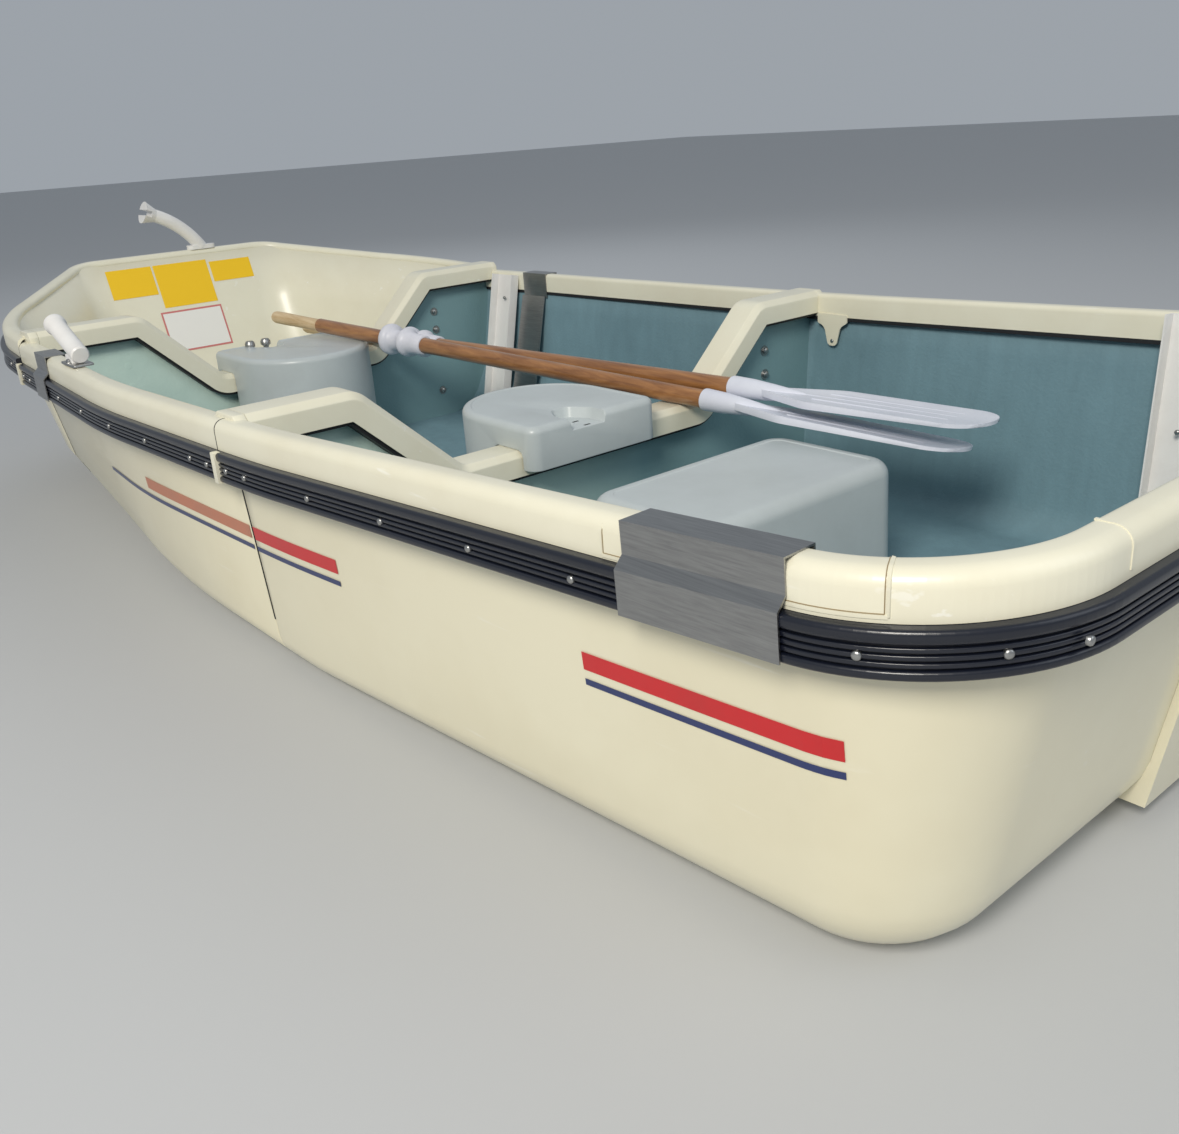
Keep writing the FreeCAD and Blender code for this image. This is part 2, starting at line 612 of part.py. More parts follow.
# ---------------------------------------------------------------- oars
def make_oars():
    for name, front, rear, to_grip, to_blade in OARS:
        axis = (rear - front).normalize()
        grip_end = front - axis * to_grip
        root = rear + axis * to_blade
        grip = Part.makeCylinder(GRIP_RADIUS, GRIP_LENGTH, grip_end, axis)
        run = (root - grip_end).Length - GRIP_LENGTH
        shaft = Part.makeCylinder(OAR_RADIUS, run, grip_end + axis * GRIP_LENGTH, axis)
        save(name + "_shaft", grip.fuse(shaft))
        start = grip_end + axis * COLLAR_AT
        collar = Part.makeCylinder(COLLAR_TUBE, COLLAR_LENGTH, start, axis)
        for at, radius in ((0, COLLAR_RADIUS), (COLLAR_SECOND_AT, COLLAR_SECOND_RADIUS)):
            collar = collar.fuse(Part.makeCylinder(radius, COLLAR_FLANGE, start + axis * at, axis))
        save(name + "_collar", collar.cut(Part.makeCylinder(OAR_RADIUS, COLLAR_LENGTH, start, axis)))
        save(name + "_blade", blade(axis, root))


def blade(axis, root):
    """A tapered socket and a flat paddle, made along +X and turned onto the shaft's line."""
    back = V(-SOCKET_DEPTH, 0, 0)
    socket = Part.makeCone(SOCKET_RADIUS, BLADE_THICK / 2.0, SOCKET_LENGTH, back, V(1, 0, 0))
    half = BLADE_WIDTH / 2.0
    tip = BLADE_LENGTH - SOCKET_DEPTH
    start = SOCKET_LENGTH / 2.0
    points = [V(start, -BLADE_NECK, 0), V(BLADE_SHOULDER, -half, 0), V(tip - half, -half, 0), V(tip, 0, 0),
              V(tip - half, half, 0), V(BLADE_SHOULDER, half, 0), V(start, BLADE_NECK, 0)]
    edges = [
        Part.LineSegment(points[0], points[1]).toShape(),
        Part.LineSegment(points[1], points[2]).toShape(),
        Part.Arc(points[2], points[3], points[4]).toShape(),
        Part.LineSegment(points[4], points[5]).toShape(),
        Part.LineSegment(points[5], points[6]).toShape(),
        Part.LineSegment(points[6], points[0]).toShape(),
    ]
    plate = Part.Face(Part.Wire(edges)).extrude(V(0, 0, BLADE_THICK))
    plate.translate(V(0, 0, -BLADE_THICK / 2.0))
    shape = socket.fuse(plate)
    shape = shape.cut(Part.makeCylinder(OAR_RADIUS, SOCKET_DEPTH, back, V(1, 0, 0)))
    shape.translate(V(SOCKET_DEPTH, 0, 0))
    across = V(0, 0, 1).cross(axis).normalize()
    upright = axis.cross(across)
    frame = FreeCAD.Matrix(axis.x, across.x, upright.x, root.x - axis.x * SOCKET_DEPTH,
                           axis.y, across.y, upright.y, root.y - axis.y * SOCKET_DEPTH,
                           axis.z, across.z, upright.z, root.z - axis.z * SOCKET_DEPTH, 0, 0, 0, 1)
    shape.rotate(V(0, 0, 0), V(1, 0, 0), -BLADE_TILT)
    shape.Placement = FreeCAD.Placement(frame).multiply(shape.Placement)
    return shape


# ---------------------------------------------------------------- bow
def make_bow_liner():
    """The smooth inner skin of the bow, from the front bulkhead to the rim."""
    outside = HULL_WALL + LINER_GAP
    inside = outside + LINER_WALL
    liner = skin_solid(outside, outside).cut(skin_solid(inside, inside))
    start = FRONT_JOINT_X + JOINT_GAP / 2.0 + BULKHEAD_WALL
    below = sheer_band(BOW_SHEER, -LOFT_TOP, -GUNWALE_WALL)
    cap = cap_band(FRONT_CAP_TOP, 0, CAP_SKIRT, FRONT_FOOT, FRONT_HEAD, WIDE,
                   start, FRONT_JOINT_X + CAP_HALF_WIDTH)
    liner = liner.common(slab(start, TIP_X)).common(below).cut(cap)
    for y, z in bolt_places("front"):
        room = Part.makeCylinder(BOLT_HEAD + BOLT_CLEAR, BOLT_ROOM, V(FRONT_JOINT_X, y, z), V(1, 0, 0))
        liner = liner.cut(room)
    save("bow_liner", liner)


def make_handle():
    """A moulded handle on the bow rim: a foot, a bent tube and a flared, notched free end."""
    x = TIP_X - GUNWALE_WIDTH + HANDLE_FOOT_WIDTH / 2.0
    seat = arc_height(BOW_SHEER, x + HANDLE_FOOT_WIDTH / 2.0)[0] + SHEET_CLEAR
    foot = Part.makeBox(HANDLE_FOOT_WIDTH, HANDLE_FOOT_LENGTH, HANDLE_FOOT_HEIGHT,
                        V(x - HANDLE_FOOT_WIDTH / 2.0, -HANDLE_SIDE - HANDLE_FOOT_LENGTH / 2.0, seat))
    foot = foot.makeFillet(HANDLE_CORNER, upright_edges(foot))
    start = V(x, -HANDLE_SIDE, seat + HANDLE_FOOT_HEIGHT / 2.0)
    end = V(x, -HANDLE_SIDE + HANDLE_REACH, seat + HANDLE_RISE)
    middle = (start + end) * 0.5 + V(0, -HANDLE_REACH, HANDLE_RISE) * HANDLE_BOW
    path = Part.Arc(start, middle, end)
    profile = Part.Wire(Part.Circle(start, path.tangent(0)[0], HANDLE_RADIUS).toShape())
    tube = Part.Wire(path.toShape()).makePipeShell([profile], True, False)
    out = path.tangent(path.LastParameter)[0].normalize()
    flare = Part.makeCone(HANDLE_RADIUS, HANDLE_FLARE, HANDLE_FLARE_LENGTH, end, out)
    notch = Part.makeBox(2 * HANDLE_FLARE, HANDLE_FLARE_LENGTH, HANDLE_NOTCH,
                         V(-HANDLE_FLARE, 0, -HANDLE_NOTCH / 2.0))
    notch.rotate(V(0, 0, 0), V(1, 0, 0), math.degrees(math.atan2(out.z, out.y)))
    notch.translate(end + out * HANDLE_NOTCH_AT)
    corner = V(x - 2 * HANDLE_RADIUS, -HANDLE_SIDE - 2 * HANDLE_FOOT_LENGTH, seat - HANDLE_RADIUS)
    below = Part.makeBox(4 * HANDLE_RADIUS, 4 * HANDLE_FOOT_LENGTH, HANDLE_RADIUS, corner)
    save("bow_handle", foot.fuse(tube).fuse(flare).cut(notch).cut(below))


os.makedirs("parts", exist_ok=True)
inner_solid = make_shells()
make_rims()
make_caps(inner_solid)
make_bolts()
make_seats()
make_fittings()
make_transom_pad()
make_oars()
make_bow_liner()
make_handle()
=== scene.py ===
# %% [markdown]
# # A rowing boat in three sections
#
# The boat is a bow, a middle and a stern that are moulded apart, stand end to end and are held by
# bolts through their end walls. The frame gives every sub-part at its real place. This lesson
# adds what the frame leaves plain: rounded mouldings, ribbed rubber, seats with soft edges, oars,
# small fittings and a finish for each surface.

# %% Load the frame
import math
import bmesh
import bpy
from mathutils import Matrix, Vector


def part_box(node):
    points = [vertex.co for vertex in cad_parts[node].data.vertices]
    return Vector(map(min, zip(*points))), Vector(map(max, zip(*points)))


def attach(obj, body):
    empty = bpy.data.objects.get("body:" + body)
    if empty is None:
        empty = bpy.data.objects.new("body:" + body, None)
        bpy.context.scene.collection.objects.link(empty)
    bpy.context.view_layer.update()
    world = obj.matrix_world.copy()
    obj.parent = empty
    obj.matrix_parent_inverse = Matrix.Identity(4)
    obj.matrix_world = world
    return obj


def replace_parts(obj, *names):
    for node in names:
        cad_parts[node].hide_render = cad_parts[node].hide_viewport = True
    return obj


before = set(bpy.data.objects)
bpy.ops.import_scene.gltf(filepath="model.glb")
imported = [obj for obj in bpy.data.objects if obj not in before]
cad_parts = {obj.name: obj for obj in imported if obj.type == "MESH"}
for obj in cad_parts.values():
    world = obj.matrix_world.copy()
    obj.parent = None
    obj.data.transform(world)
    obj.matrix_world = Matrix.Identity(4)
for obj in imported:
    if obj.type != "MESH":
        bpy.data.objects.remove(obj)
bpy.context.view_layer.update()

# %% [markdown]
# ## The camera and the light
#
# A view from above the port quarter shows the inside and the long side together. The camera's
# bearing, pitch and roll are set as three angles, and its axes are built from them, because a
# rotation by Euler angles hides which way is up. The lamps are large and soft. The key is a little
# warm and comes from the port side; the sky that fills the shade is a little cool.

# %% Camera
EYE = Vector((-1.9585, 1.2785, 0.7868))
BEARING = math.radians(-39.501)
PITCH = math.radians(-21.24)
ROLL = math.radians(-3.73)
LENS = 34.22
SHIFT = (-0.0173, -0.0097)

ahead = Vector((math.cos(PITCH) * math.cos(BEARING), math.cos(PITCH) * math.sin(BEARING),
                math.sin(PITCH)))
level = Vector((math.sin(BEARING), -math.cos(BEARING), 0.0))
across = Matrix.Rotation(-ROLL, 4, ahead) @ level
upward = across.cross(ahead)

camera = bpy.data.objects.new("camera", bpy.data.cameras.new("camera"))
bpy.context.scene.collection.objects.link(camera)
camera.matrix_world = Matrix.Translation(EYE) @ Matrix((across, upward, -ahead)).transposed().to_4x4()
camera.data.lens = LENS
camera.data.shift_x, camera.data.shift_y = SHIFT
camera.data.clip_start = 0.05
bpy.context.scene.camera = camera
print("camera looks along", [round(v, 3) for v in ahead])

# %% Lamps, sky and floor
def lamp(name, place, target, size, power, colour):
    """A square soft lamp that faces a point."""
    light = bpy.data.lights.new(name, "AREA")
    light.size = size
    light.energy = power
    light.color = colour
    holder = bpy.data.objects.new(name, light)
    holder.location = place
    holder.rotation_euler = (Vector(target) - Vector(place)).to_track_quat("-Z", "Y").to_euler()
    bpy.context.scene.collection.objects.link(holder)
    return holder


lamp("key_lamp", (-3.1, 4.3, 4.1), (0.0, 0.0, 0.3), 1.8, 290.0, (1.0, 0.95, 0.86))
lamp("fill_lamp", (-4.6, -1.4, 3.0), (-0.4, 0.0, 0.3), 3.0, 30.0, (0.88, 0.94, 1.0))
bow_lamp = lamp("bow_lamp", (3.6, -2.6, 3.6), (0.4, 0.0, 0.3), 3.0, 40.0, (0.92, 0.96, 1.0))
bow_lamp.visible_glossy = False

sky = bpy.data.worlds.new("sky")
sky.use_nodes = True
background = sky.node_tree.nodes["Background"]
background.inputs["Color"].default_value = (0.80, 0.87, 0.95, 1.0)
background.inputs["Strength"].default_value = 0.42
bpy.context.scene.world = sky
bpy.context.scene.view_settings.view_transform = "Standard"

floor_mesh = bpy.data.meshes.new("studio_floor")
bm = bmesh.new()
bmesh.ops.create_grid(bm, x_segments=1, y_segments=1, size=30.0)
bm.to_mesh(floor_mesh)
bm.free()
studio_floor = bpy.data.objects.new("studio_floor", floor_mesh)
studio_floor.location.z = -0.001
pale_floor = bpy.data.materials.new("pale_floor")
pale_floor.use_nodes = True
floor_shader = pale_floor.node_tree.nodes["Principled BSDF"]
floor_shader.inputs["Base Color"].default_value = (0.50, 0.51, 0.52, 1.0)
floor_shader.inputs["Roughness"].default_value = 0.8
floor_mesh.materials.append(pale_floor)
bpy.context.scene.collection.objects.link(studio_floor)
print("three lamps, one sky, one floor")

# %% [markdown]
# ## Sizes
#
# The sections' ends are read from the frame. The rest are the boat's own moulding sizes, in metres:
# the corners of the outline that the gunwale stands on, the sheer line's heights and the widths of
# the mouldings. Everything later is worked out from these.

# %% Named sizes
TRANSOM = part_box("stern_gunwale")[0].x
REAR_JOINT = (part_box("stern_hull")[1].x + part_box("middle_hull")[0].x) / 2
FRONT_JOINT = (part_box("middle_hull")[1].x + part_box("bow_hull")[0].x) / 2
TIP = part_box("bow_gunwale")[1].x
HALF_BEAM = 0.696
TRANSOM_HALF = 0.626
PRAM_HALF = 0.299

SHEERS = {
    "aft": ((TRANSOM, 0.457), (REAR_JOINT, 0.409), (FRONT_JOINT, 0.399)),
    "bow": ((FRONT_JOINT, 0.410), ((FRONT_JOINT + TIP) / 2, 0.436), (TIP, 0.494)),
}
GUNWALE_WIDTH = 0.038
GUNWALE_DROP = 0.044
INNER_DROP = 0.047
HULL_WALL = 0.006
BILGE_HEIGHT = 0.123
LOFT_TOP = 0.540
JOINT_GAP = 0.001
THRESHOLD = 0.248

# corners of the half outlines: along, half breadth, corner radius
GUNWALE = (
    (TRANSOM, TRANSOM_HALF, 0.190),
    (REAR_JOINT - 0.112, HALF_BEAM - 0.011, 3.9),
    (REAR_JOINT + 0.503, HALF_BEAM, 2.8),
    (FRONT_JOINT + 0.283, HALF_BEAM - 0.056, 0.600),
    (TIP, PRAM_HALF, 0.120),
)
# radius of the hull's rounded bottom edge at the same five corners
EDGE_ROUND = (0.085, 0.042, 0.055, 0.060, 0.060)
# the hull skin's outlines: at the floor, at the bilge and at the top of the loft
SKIN = (
    ((TRANSOM + 0.089, TRANSOM_HALF - 0.050, 0.123), (REAR_JOINT - 0.100, HALF_BEAM - 0.054, 3.9),
     (REAR_JOINT + 0.459, HALF_BEAM - 0.047, 2.8), (FRONT_JOINT + 0.150, HALF_BEAM - 0.196, 0.600),
     (TIP - 0.345, PRAM_HALF - 0.069, 0.200)),
    ((TRANSOM + 0.068, TRANSOM_HALF - 0.0395, 0.137), (REAR_JOINT - 0.1027, HALF_BEAM - 0.0463, 3.9),
     (REAR_JOINT + 0.469, HALF_BEAM - 0.0386, 2.8), (FRONT_JOINT + 0.230, HALF_BEAM - 0.126, 0.550),
     (TIP - 0.145, PRAM_HALF - 0.039, 0.170)),
    ((TRANSOM - 0.004, TRANSOM_HALF - 0.004, 0.185), (REAR_JOINT - 0.112, HALF_BEAM - 0.020, 3.9),
     (REAR_JOINT + 0.503, HALF_BEAM - 0.010, 2.8), (FRONT_JOINT + 0.295, HALF_BEAM - 0.042, 0.590),
     (TIP + 0.005, PRAM_HALF - 0.003, 0.120)),
)
print("length", round(TIP - TRANSOM, 3), "joints at", round(REAR_JOINT, 3), round(FRONT_JOINT, 3))

# %% [markdown]
# ## Outlines with round corners
#
# Mouldings and hull skins follow a few straight runs with round corners. A spline would do it too,
# but a corner's radius then has no number, and the mould maker's drawing gives radii. So one helper
# turns a short list of corners into points: straight runs keep only their ends, and each corner
# becomes an arc with a fixed number of steps, so that outlines at other heights have as many points
# and can be bridged.

# %% Rounded outlines
def round_path(corners, steps=6, closed=False):
    """Points of a chain of straight runs whose corners (a, b, radius) are arcs."""
    count = len(corners)
    points = []
    for i, (a, b, radius) in enumerate(corners):
        here = Vector((a, b))
        if radius == 0 or (not closed and i in (0, count - 1)):
            points.append(here)
            continue
        back = (Vector(corners[i - 1][:2]) - here).normalized()
        on = (Vector(corners[(i + 1) % count][:2]) - here).normalized()
        half = back.angle(on) / 2
        reach = radius / math.tan(half)
        centre = here + (back + on).normalized() * (radius / math.sin(half))
        sense = 1.0 if back.x * on.y - back.y * on.x < 0 else -1.0
        turn = (math.pi - 2 * half) * sense
        start = here + back * reach - centre
        for k in range(steps + 1):
            angle = turn * k / steps
            points.append(centre + Matrix.Rotation(angle, 2) @ start)
    return points


def half_outline(corners, steps=6):
    """From the transom's middle round the port side to the middle of the bow."""
    ends = [(corners[0][0], 0.0, 0)], [(corners[-1][0], 0.0, 0)]
    return round_path(ends[0] + list(corners) + ends[1], steps)


def clip(points, low, high):
    """The stretch of an outline between two stations, with points on both."""
    kept = []
    for a, b in zip(points, points[1:]):
        for limit in sorted((low, high), key=lambda x: abs(x - a.x)):
            if (a.x - limit) * (b.x - limit) < 0:
                kept.append(a.lerp(b, (limit - a.x) / (b.x - a.x)))
        if low <= b.x <= high:
            kept.append(b)
    if low <= points[0].x <= high:
        kept.insert(0, points[0])
    return kept


def sheer(x, part):
    """Height of the gunwale's top at a station, on the circle through three heights."""
    (ax, az), (bx, bz), (cx, cz) = SHEERS[part]
    slope_a = (bz - az) / (bx - ax)
    slope_b = (cz - bz) / (cx - bx)
    middle_a, middle_b = (ax + bx) / 2, (bx + cx) / 2
    rise = (bz + cz) / 2 - (az + bz) / 2
    centre_x = (rise + middle_b / slope_b - middle_a / slope_a) / (1 / slope_b - 1 / slope_a)
    centre_z = (az + bz) / 2 - (centre_x - middle_a) / slope_a
    radius = math.hypot(ax - centre_x, az - centre_z)
    return centre_z - math.sqrt(radius ** 2 - (x - centre_x) ** 2)


outline = half_outline(GUNWALE, 28)
print("outline", len(outline), "points; sheer at the rear joint", round(sheer(REAR_JOINT, "aft"), 4))

# %% [markdown]
# ## Sweeping a section along a path
#
# A gunwale, a rub rail and a joint cap are each one cross-section carried along a path. A curve
# object with a bevel object does that, but it turns the section by its own rules at each corner.
# Here one face with the section's shape is extruded step by step, and each new end is carried to the
# next station by that station's own matrix, so the section stays upright and both ends are closed.

# %% Helpers for faces and edges
def extruded(bm, face):
    """Extrude one face and return the new one, still in the old one's place."""
    made = bmesh.ops.extrude_face_region(bm, geom=[face])["geom"]
    return next(item for item in made if isinstance(item, bmesh.types.BMFace))


def soften(bm, edges, width, segments):
    """Round some edges."""
    bmesh.ops.bevel(bm, geom=edges, offset=width, offset_type="OFFSET", segments=segments, profile=0.5,
                    affect="EDGES", material=-1, clamp_overlap=True)


# %% Sweep
ROOT = -1.0    # outboard value of a section's point that is to lie against the skin


def stations(path, side=None):
    """A matrix for each point: X outboard (left of the way), Y up, Z along the path."""
    found = []
    for i, point in enumerate(path):
        along = path[min(i + 1, len(path) - 1)] - path[max(i - 1, 0)]
        if side is None:
            along.z = 0.0
            along.normalize()
            out = Vector((-along.y, along.x, 0.0))
            up = Vector((0.0, 0.0, 1.0))
        else:
            along.normalize()
            out = Vector(side)
            up = along.cross(out).normalized()
        found.append(Matrix.Translation(point) @ Matrix((out, up, along)).transposed().to_4x4())
    return found


def sweep(bm, section, path, side=None, root=None, soft=0.0):
    """Extrude a closed section (out, up) along the path. Points at ROOT lie root(point, up) inboard."""
    places = stations(path, side)

    def settle(verts, place, point):
        for vert in verts:
            local = place.inverted() @ vert.co
            if root and local.x < -0.001:
                vert.co = place @ Vector((-root(point, local.y), local.y, local.z))

    first = [bm.verts.new(places[0] @ Vector((out, up, 0.0))) for out, up in section]
    settle(first, places[0], path[0])
    start = face = bm.faces.new(first)
    for before, place, point in zip(places, places[1:], path[1:]):
        face = extruded(bm, face)
        bmesh.ops.transform(bm, matrix=place @ before.inverted(), verts=face.verts)
        settle(face.verts, place, point)
    if soft:
        soften(bm, list(start.edges) + list(face.edges), soft, 2)


# %% From a bmesh to a finished piece
def linked(name, bm):
    """Turn a bmesh into an object in the scene."""
    mesh = bpy.data.meshes.new(name)
    bm.to_mesh(mesh)
    bm.free()
    made = bpy.data.objects.new(name, mesh)
    bpy.context.scene.collection.objects.link(made)
    return made


def dress(made, name, material_used, body, sharp=30.0):
    """Finish and body for an object, which is smooth but for its sharp edges."""
    mesh = made.data
    mesh.materials.clear()
    mesh.materials.append(material_used)
    mesh.shade_smooth()
    mesh.set_sharp_from_angle(angle=math.radians(sharp))
    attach(made, body)
    print(name, len(mesh.vertices), "vertices")
    return made


def piece(name, bm, material_used, body="boat", sharp=38.0):
    """A finished piece from a bmesh, with its faces turned outwards."""
    bmesh.ops.recalc_face_normals(bm, faces=bm.faces)
    return dress(linked(name, bm), name, material_used, body, sharp)


# %% The three runs of the outline
def on_sheer(points, part, mirror=False):
    """Lift plan points onto the gunwale's top, on the port side or the starboard side."""
    return [Vector((p.x, -p.y if mirror else p.y, sheer(p.x, part))) for p in points]


def without_doubles(path):
    """A path with no point twice in a row."""
    return [p for i, p in enumerate(path) if i == 0 or (p - path[i - 1]).length > 1e-6]


def section_paths(low, high, part):
    """The gunwale's paths between two stations, each with outboard on its left."""
    plan = clip(outline, low, high)
    port, starboard = on_sheer(plan, part), on_sheer(plan, part, True)[::-1]
    if low < TRANSOM:
        return [without_doubles(starboard + port)]
    if high > TIP:
        return [without_doubles(port + starboard)]
    return [port, starboard]


GAP = JOINT_GAP / 2
RUNS = {
    "stern": section_paths(TRANSOM - 1.0, REAR_JOINT - GAP, "aft"),
    "middle": section_paths(REAR_JOINT + GAP, FRONT_JOINT - GAP, "aft"),
    "bow": section_paths(FRONT_JOINT + GAP, TIP + 1.0, "bow"),
}
print({name: [len(path) for path in paths] for name, paths in RUNS.items()})

# %% [markdown]
# ## Finishes
#
# A boat that has been used shows it in a few ways that all parts share: colour that drifts in broad
# soft patches, fine scratches, and a surface that is never quite even. Each of these is one shader
# group with a few inputs, so each material says only how strong it is. The groups give masks,
# colours and heights; the Principled node stays in the material, where its values can be read. All
# patterns use object coordinates, in metres, so they keep their size on every piece.

# %% Groups and nodes
def group(name, inputs, outputs):
    """An empty shader group with its sockets."""
    made = bpy.data.node_groups.new(name, "ShaderNodeTree")
    for label, kind, value in inputs:
        socket = made.interface.new_socket(name=label, in_out="INPUT", socket_type=kind)
        if value is not None:
            socket.default_value = value
    for label, kind in outputs:
        made.interface.new_socket(name=label, in_out="OUTPUT", socket_type=kind)
    return made, made.nodes.new("NodeGroupInput"), made.nodes.new("NodeGroupOutput")


def node(tree, kind, links=(), **settings):
    """A node with settings and (input, value or socket) pairs."""
    made = tree.nodes.new(kind)
    for key, value in settings.items():
        setattr(made, key, value)
    for key, value in links:
        if isinstance(value, bpy.types.NodeSocket):
            tree.links.new(value, made.inputs[key])
        else:
            made.inputs[key].default_value = value
    return made


FLOAT, COLOUR, VECTOR = "NodeSocketFloat", "NodeSocketColor", "NodeSocketVector"


# %% Short names for common nodes
def object_place(tree):
    """Object coordinates, in metres."""
    return node(tree, "ShaderNodeTexCoord").outputs["Object"]


def noise(tree, where, scale, *more):
    """A noise pattern; more (input, value) pairs may follow."""
    return node(tree, "ShaderNodeTexNoise", [("Vector", where), ("Scale", scale), *more]).outputs["Fac"]


def spread(tree, value, low, high):
    """Values from low to high become 0 to 1."""
    links = [("Value", value), ("From Min", low), ("From Max", high)]
    return node(tree, "ShaderNodeMapRange", links).outputs["Result"]


def times(tree, first, second):
    """The product of two values."""
    return node(tree, "ShaderNodeMath", [(0, first), (1, second)], operation="MULTIPLY").outputs[0]


def stretched(tree, amounts):
    """Object coordinates, stretched by an amount along each axis."""
    links = [(0, object_place(tree)), (1, amounts)]
    return node(tree, "ShaderNodeVectorMath", links, operation="MULTIPLY").outputs[0]


def blend(tree, share, first, second, **settings):
    """One colour where the share is 0, another where it is 1."""
    links = [(0, share), (6, first), (7, second)]
    return node(tree, "ShaderNodeMix", links, data_type="RGBA", **settings).outputs[2]


# %% Drifting colour: a clean colour drifts towards a stained one in broad patches
patches, given, made = group(
    "drifting_colour",
    [("Clean", COLOUR, None), ("Stained", COLOUR, None), ("Scale", FLOAT, 4.0), ("Amount", FLOAT, 0.5)],
    [("Color", COLOUR), ("Mask", FLOAT)])
wide = noise(patches, object_place(patches), given.outputs["Scale"], ("Detail", 5.0), ("Roughness", 0.62))
share = times(patches, spread(patches, wide, 0.42, 0.72), given.outputs["Amount"])
mixed = blend(patches, share, given.outputs["Clean"], given.outputs["Stained"])
patches.links.new(mixed, made.inputs["Color"])
patches.links.new(share, made.inputs["Mask"])

# %% Scratches: thin streaks of stretched noise, kept where a second noise is high
scratches, given, made = group(
    "scratches", [("Stretch", VECTOR, (60.0, 4.0, 60.0)), ("Amount", FLOAT, 0.5)], [("Mask", FLOAT)])
streak = noise(scratches, stretched(scratches, given.outputs["Stretch"]), 1.0, ("Detail", 3.0))
where = noise(scratches, object_place(scratches), 9.0)
both = times(scratches, spread(scratches, streak, 0.66, 0.71), spread(scratches, where, 0.5, 0.66))
scratches.links.new(times(scratches, both, given.outputs["Amount"]), made.inputs["Mask"])

# %% Uneven surface: a height from coarse and fine noise
uneven, given, made = group(
    "uneven_surface", [("Coarse", FLOAT, 12.0), ("Fine", FLOAT, 220.0), ("Fine Share", FLOAT, 0.3)],
    [("Height", FLOAT)])
place = object_place(uneven)
coarse = noise(uneven, place, given.outputs["Coarse"])
fine = noise(uneven, place, given.outputs["Fine"])
height = node(uneven, "ShaderNodeMix", [(0, given.outputs["Fine Share"]), (2, coarse), (3, fine)])
uneven.links.new(height.outputs[0], made.inputs["Height"])

# %% Streaks along one direction: wood grain, brushed steel and brushed paint
streaks, given, made = group(
    "streaks", [("Stretch", VECTOR, (3.0, 60.0, 60.0)), ("Low", COLOUR, None), ("High", COLOUR, None)],
    [("Color", COLOUR), ("Height", FLOAT)])
lines = noise(streaks, stretched(streaks, given.outputs["Stretch"]), 1.0,
              ("Detail", 6.0), ("Roughness", 0.6), ("Distortion", 0.3))
height = spread(streaks, lines, 0.32, 0.68)
mixed = blend(streaks, height, given.outputs["Low"], given.outputs["High"])
streaks.links.new(mixed, made.inputs["Color"])
streaks.links.new(height, made.inputs["Height"])
print("shader groups:", [g.name for g in bpy.data.node_groups])

# %% [markdown]
# ## Materials
#
# Gelcoat is a tinted resin with a hard clear skin: a mid roughness under a thin coat. The cream one
# has yellowed a little in patches and carries pale scratches. The inner paint was brushed over glass
# mat, so it is dull and shows the mat's fine lumps. Rubber is dark, slightly blue and half dull; the
# seats are grey polyethylene with a skin from the mould; the sheet steel is brushed along its length.

# %% Material makers
COLOUR_INPUTS = ("Clean", "Stained", "Low", "High")


def material(name, colour, rough, metallic=0.0, coat=0.0, coat_rough=0.08):
    """A Principled material with uniform values; returns it, its tree and its shader."""
    made = bpy.data.materials.new(name)
    made.use_nodes = True
    tree = made.node_tree
    shader = tree.nodes["Principled BSDF"]
    for key, value in (("Base Color", (*colour, 1.0)), ("Roughness", rough), ("Metallic", metallic),
                       ("Coat Weight", coat), ("Coat Roughness", coat_rough)):
        shader.inputs[key].default_value = value
    made.diffuse_color = (*colour, 1.0)
    return made, tree, shader


def use(tree, which, **values):
    """A shader group in a material."""
    made = tree.nodes.new("ShaderNodeGroup")
    made.node_tree = which
    for key, value in values.items():
        made.inputs[key.replace("_", " ")].default_value = (*value, 1.0) if key in COLOUR_INPUTS else value
    return made


def stain(tree, shader, clean, stained, scale, amount):
    """Drifting colour on the surface; returns its socket for later layers."""
    drift = use(tree, patches, Clean=clean, Stained=stained, Scale=scale, Amount=amount)
    tree.links.new(drift.outputs["Color"], shader.inputs["Base Color"])
    return drift.outputs["Color"]


def scratch(tree, shader, base, pale, stretch, amount, rough):
    """Pale scratches over a colour socket; they also catch the light as a rougher band."""
    marks = use(tree, scratches, Stretch=stretch, Amount=amount)
    mask = marks.outputs["Mask"]
    tree.links.new(blend(tree, mask, base, (*pale, 1.0)), shader.inputs["Base Color"])
    dull = node(tree, "ShaderNodeMapRange", [("Value", mask), ("To Min", rough), ("To Max", 0.7)])
    tree.links.new(dull.outputs["Result"], shader.inputs["Roughness"])


def relief(tree, shader, height, strength, distance=0.001):
    """A height, in steps of the given distance, bends the surface's shading."""
    bump = node(tree, "ShaderNodeBump", [("Height", height), ("Strength", strength), ("Distance", distance)])
    tree.links.new(bump.outputs["Normal"], shader.inputs["Normal"])


def bumpy(tree, shader, coarse, fine, share, strength, distance=0.001):
    """An uneven surface of coarse and fine lumps."""
    surface = use(tree, uneven, Coarse=coarse, Fine=fine, Fine_Share=share)
    relief(tree, shader, surface.outputs["Height"], strength, distance)


# %% Gelcoat and paint
hull_gelcoat, tree, shader = material("hull_gelcoat", (0.80, 0.75, 0.56), 0.34, coat=0.35, coat_rough=0.12)
drift = stain(tree, shader, (0.80, 0.755, 0.575), (0.70, 0.64, 0.455), 2.2, 0.55)
scratch(tree, shader, drift, (0.86, 0.84, 0.74), (2.5, 40.0, 70.0), 0.45, 0.34)
bumpy(tree, shader, 3.0, 60.0, 0.12, 0.10, 0.004)

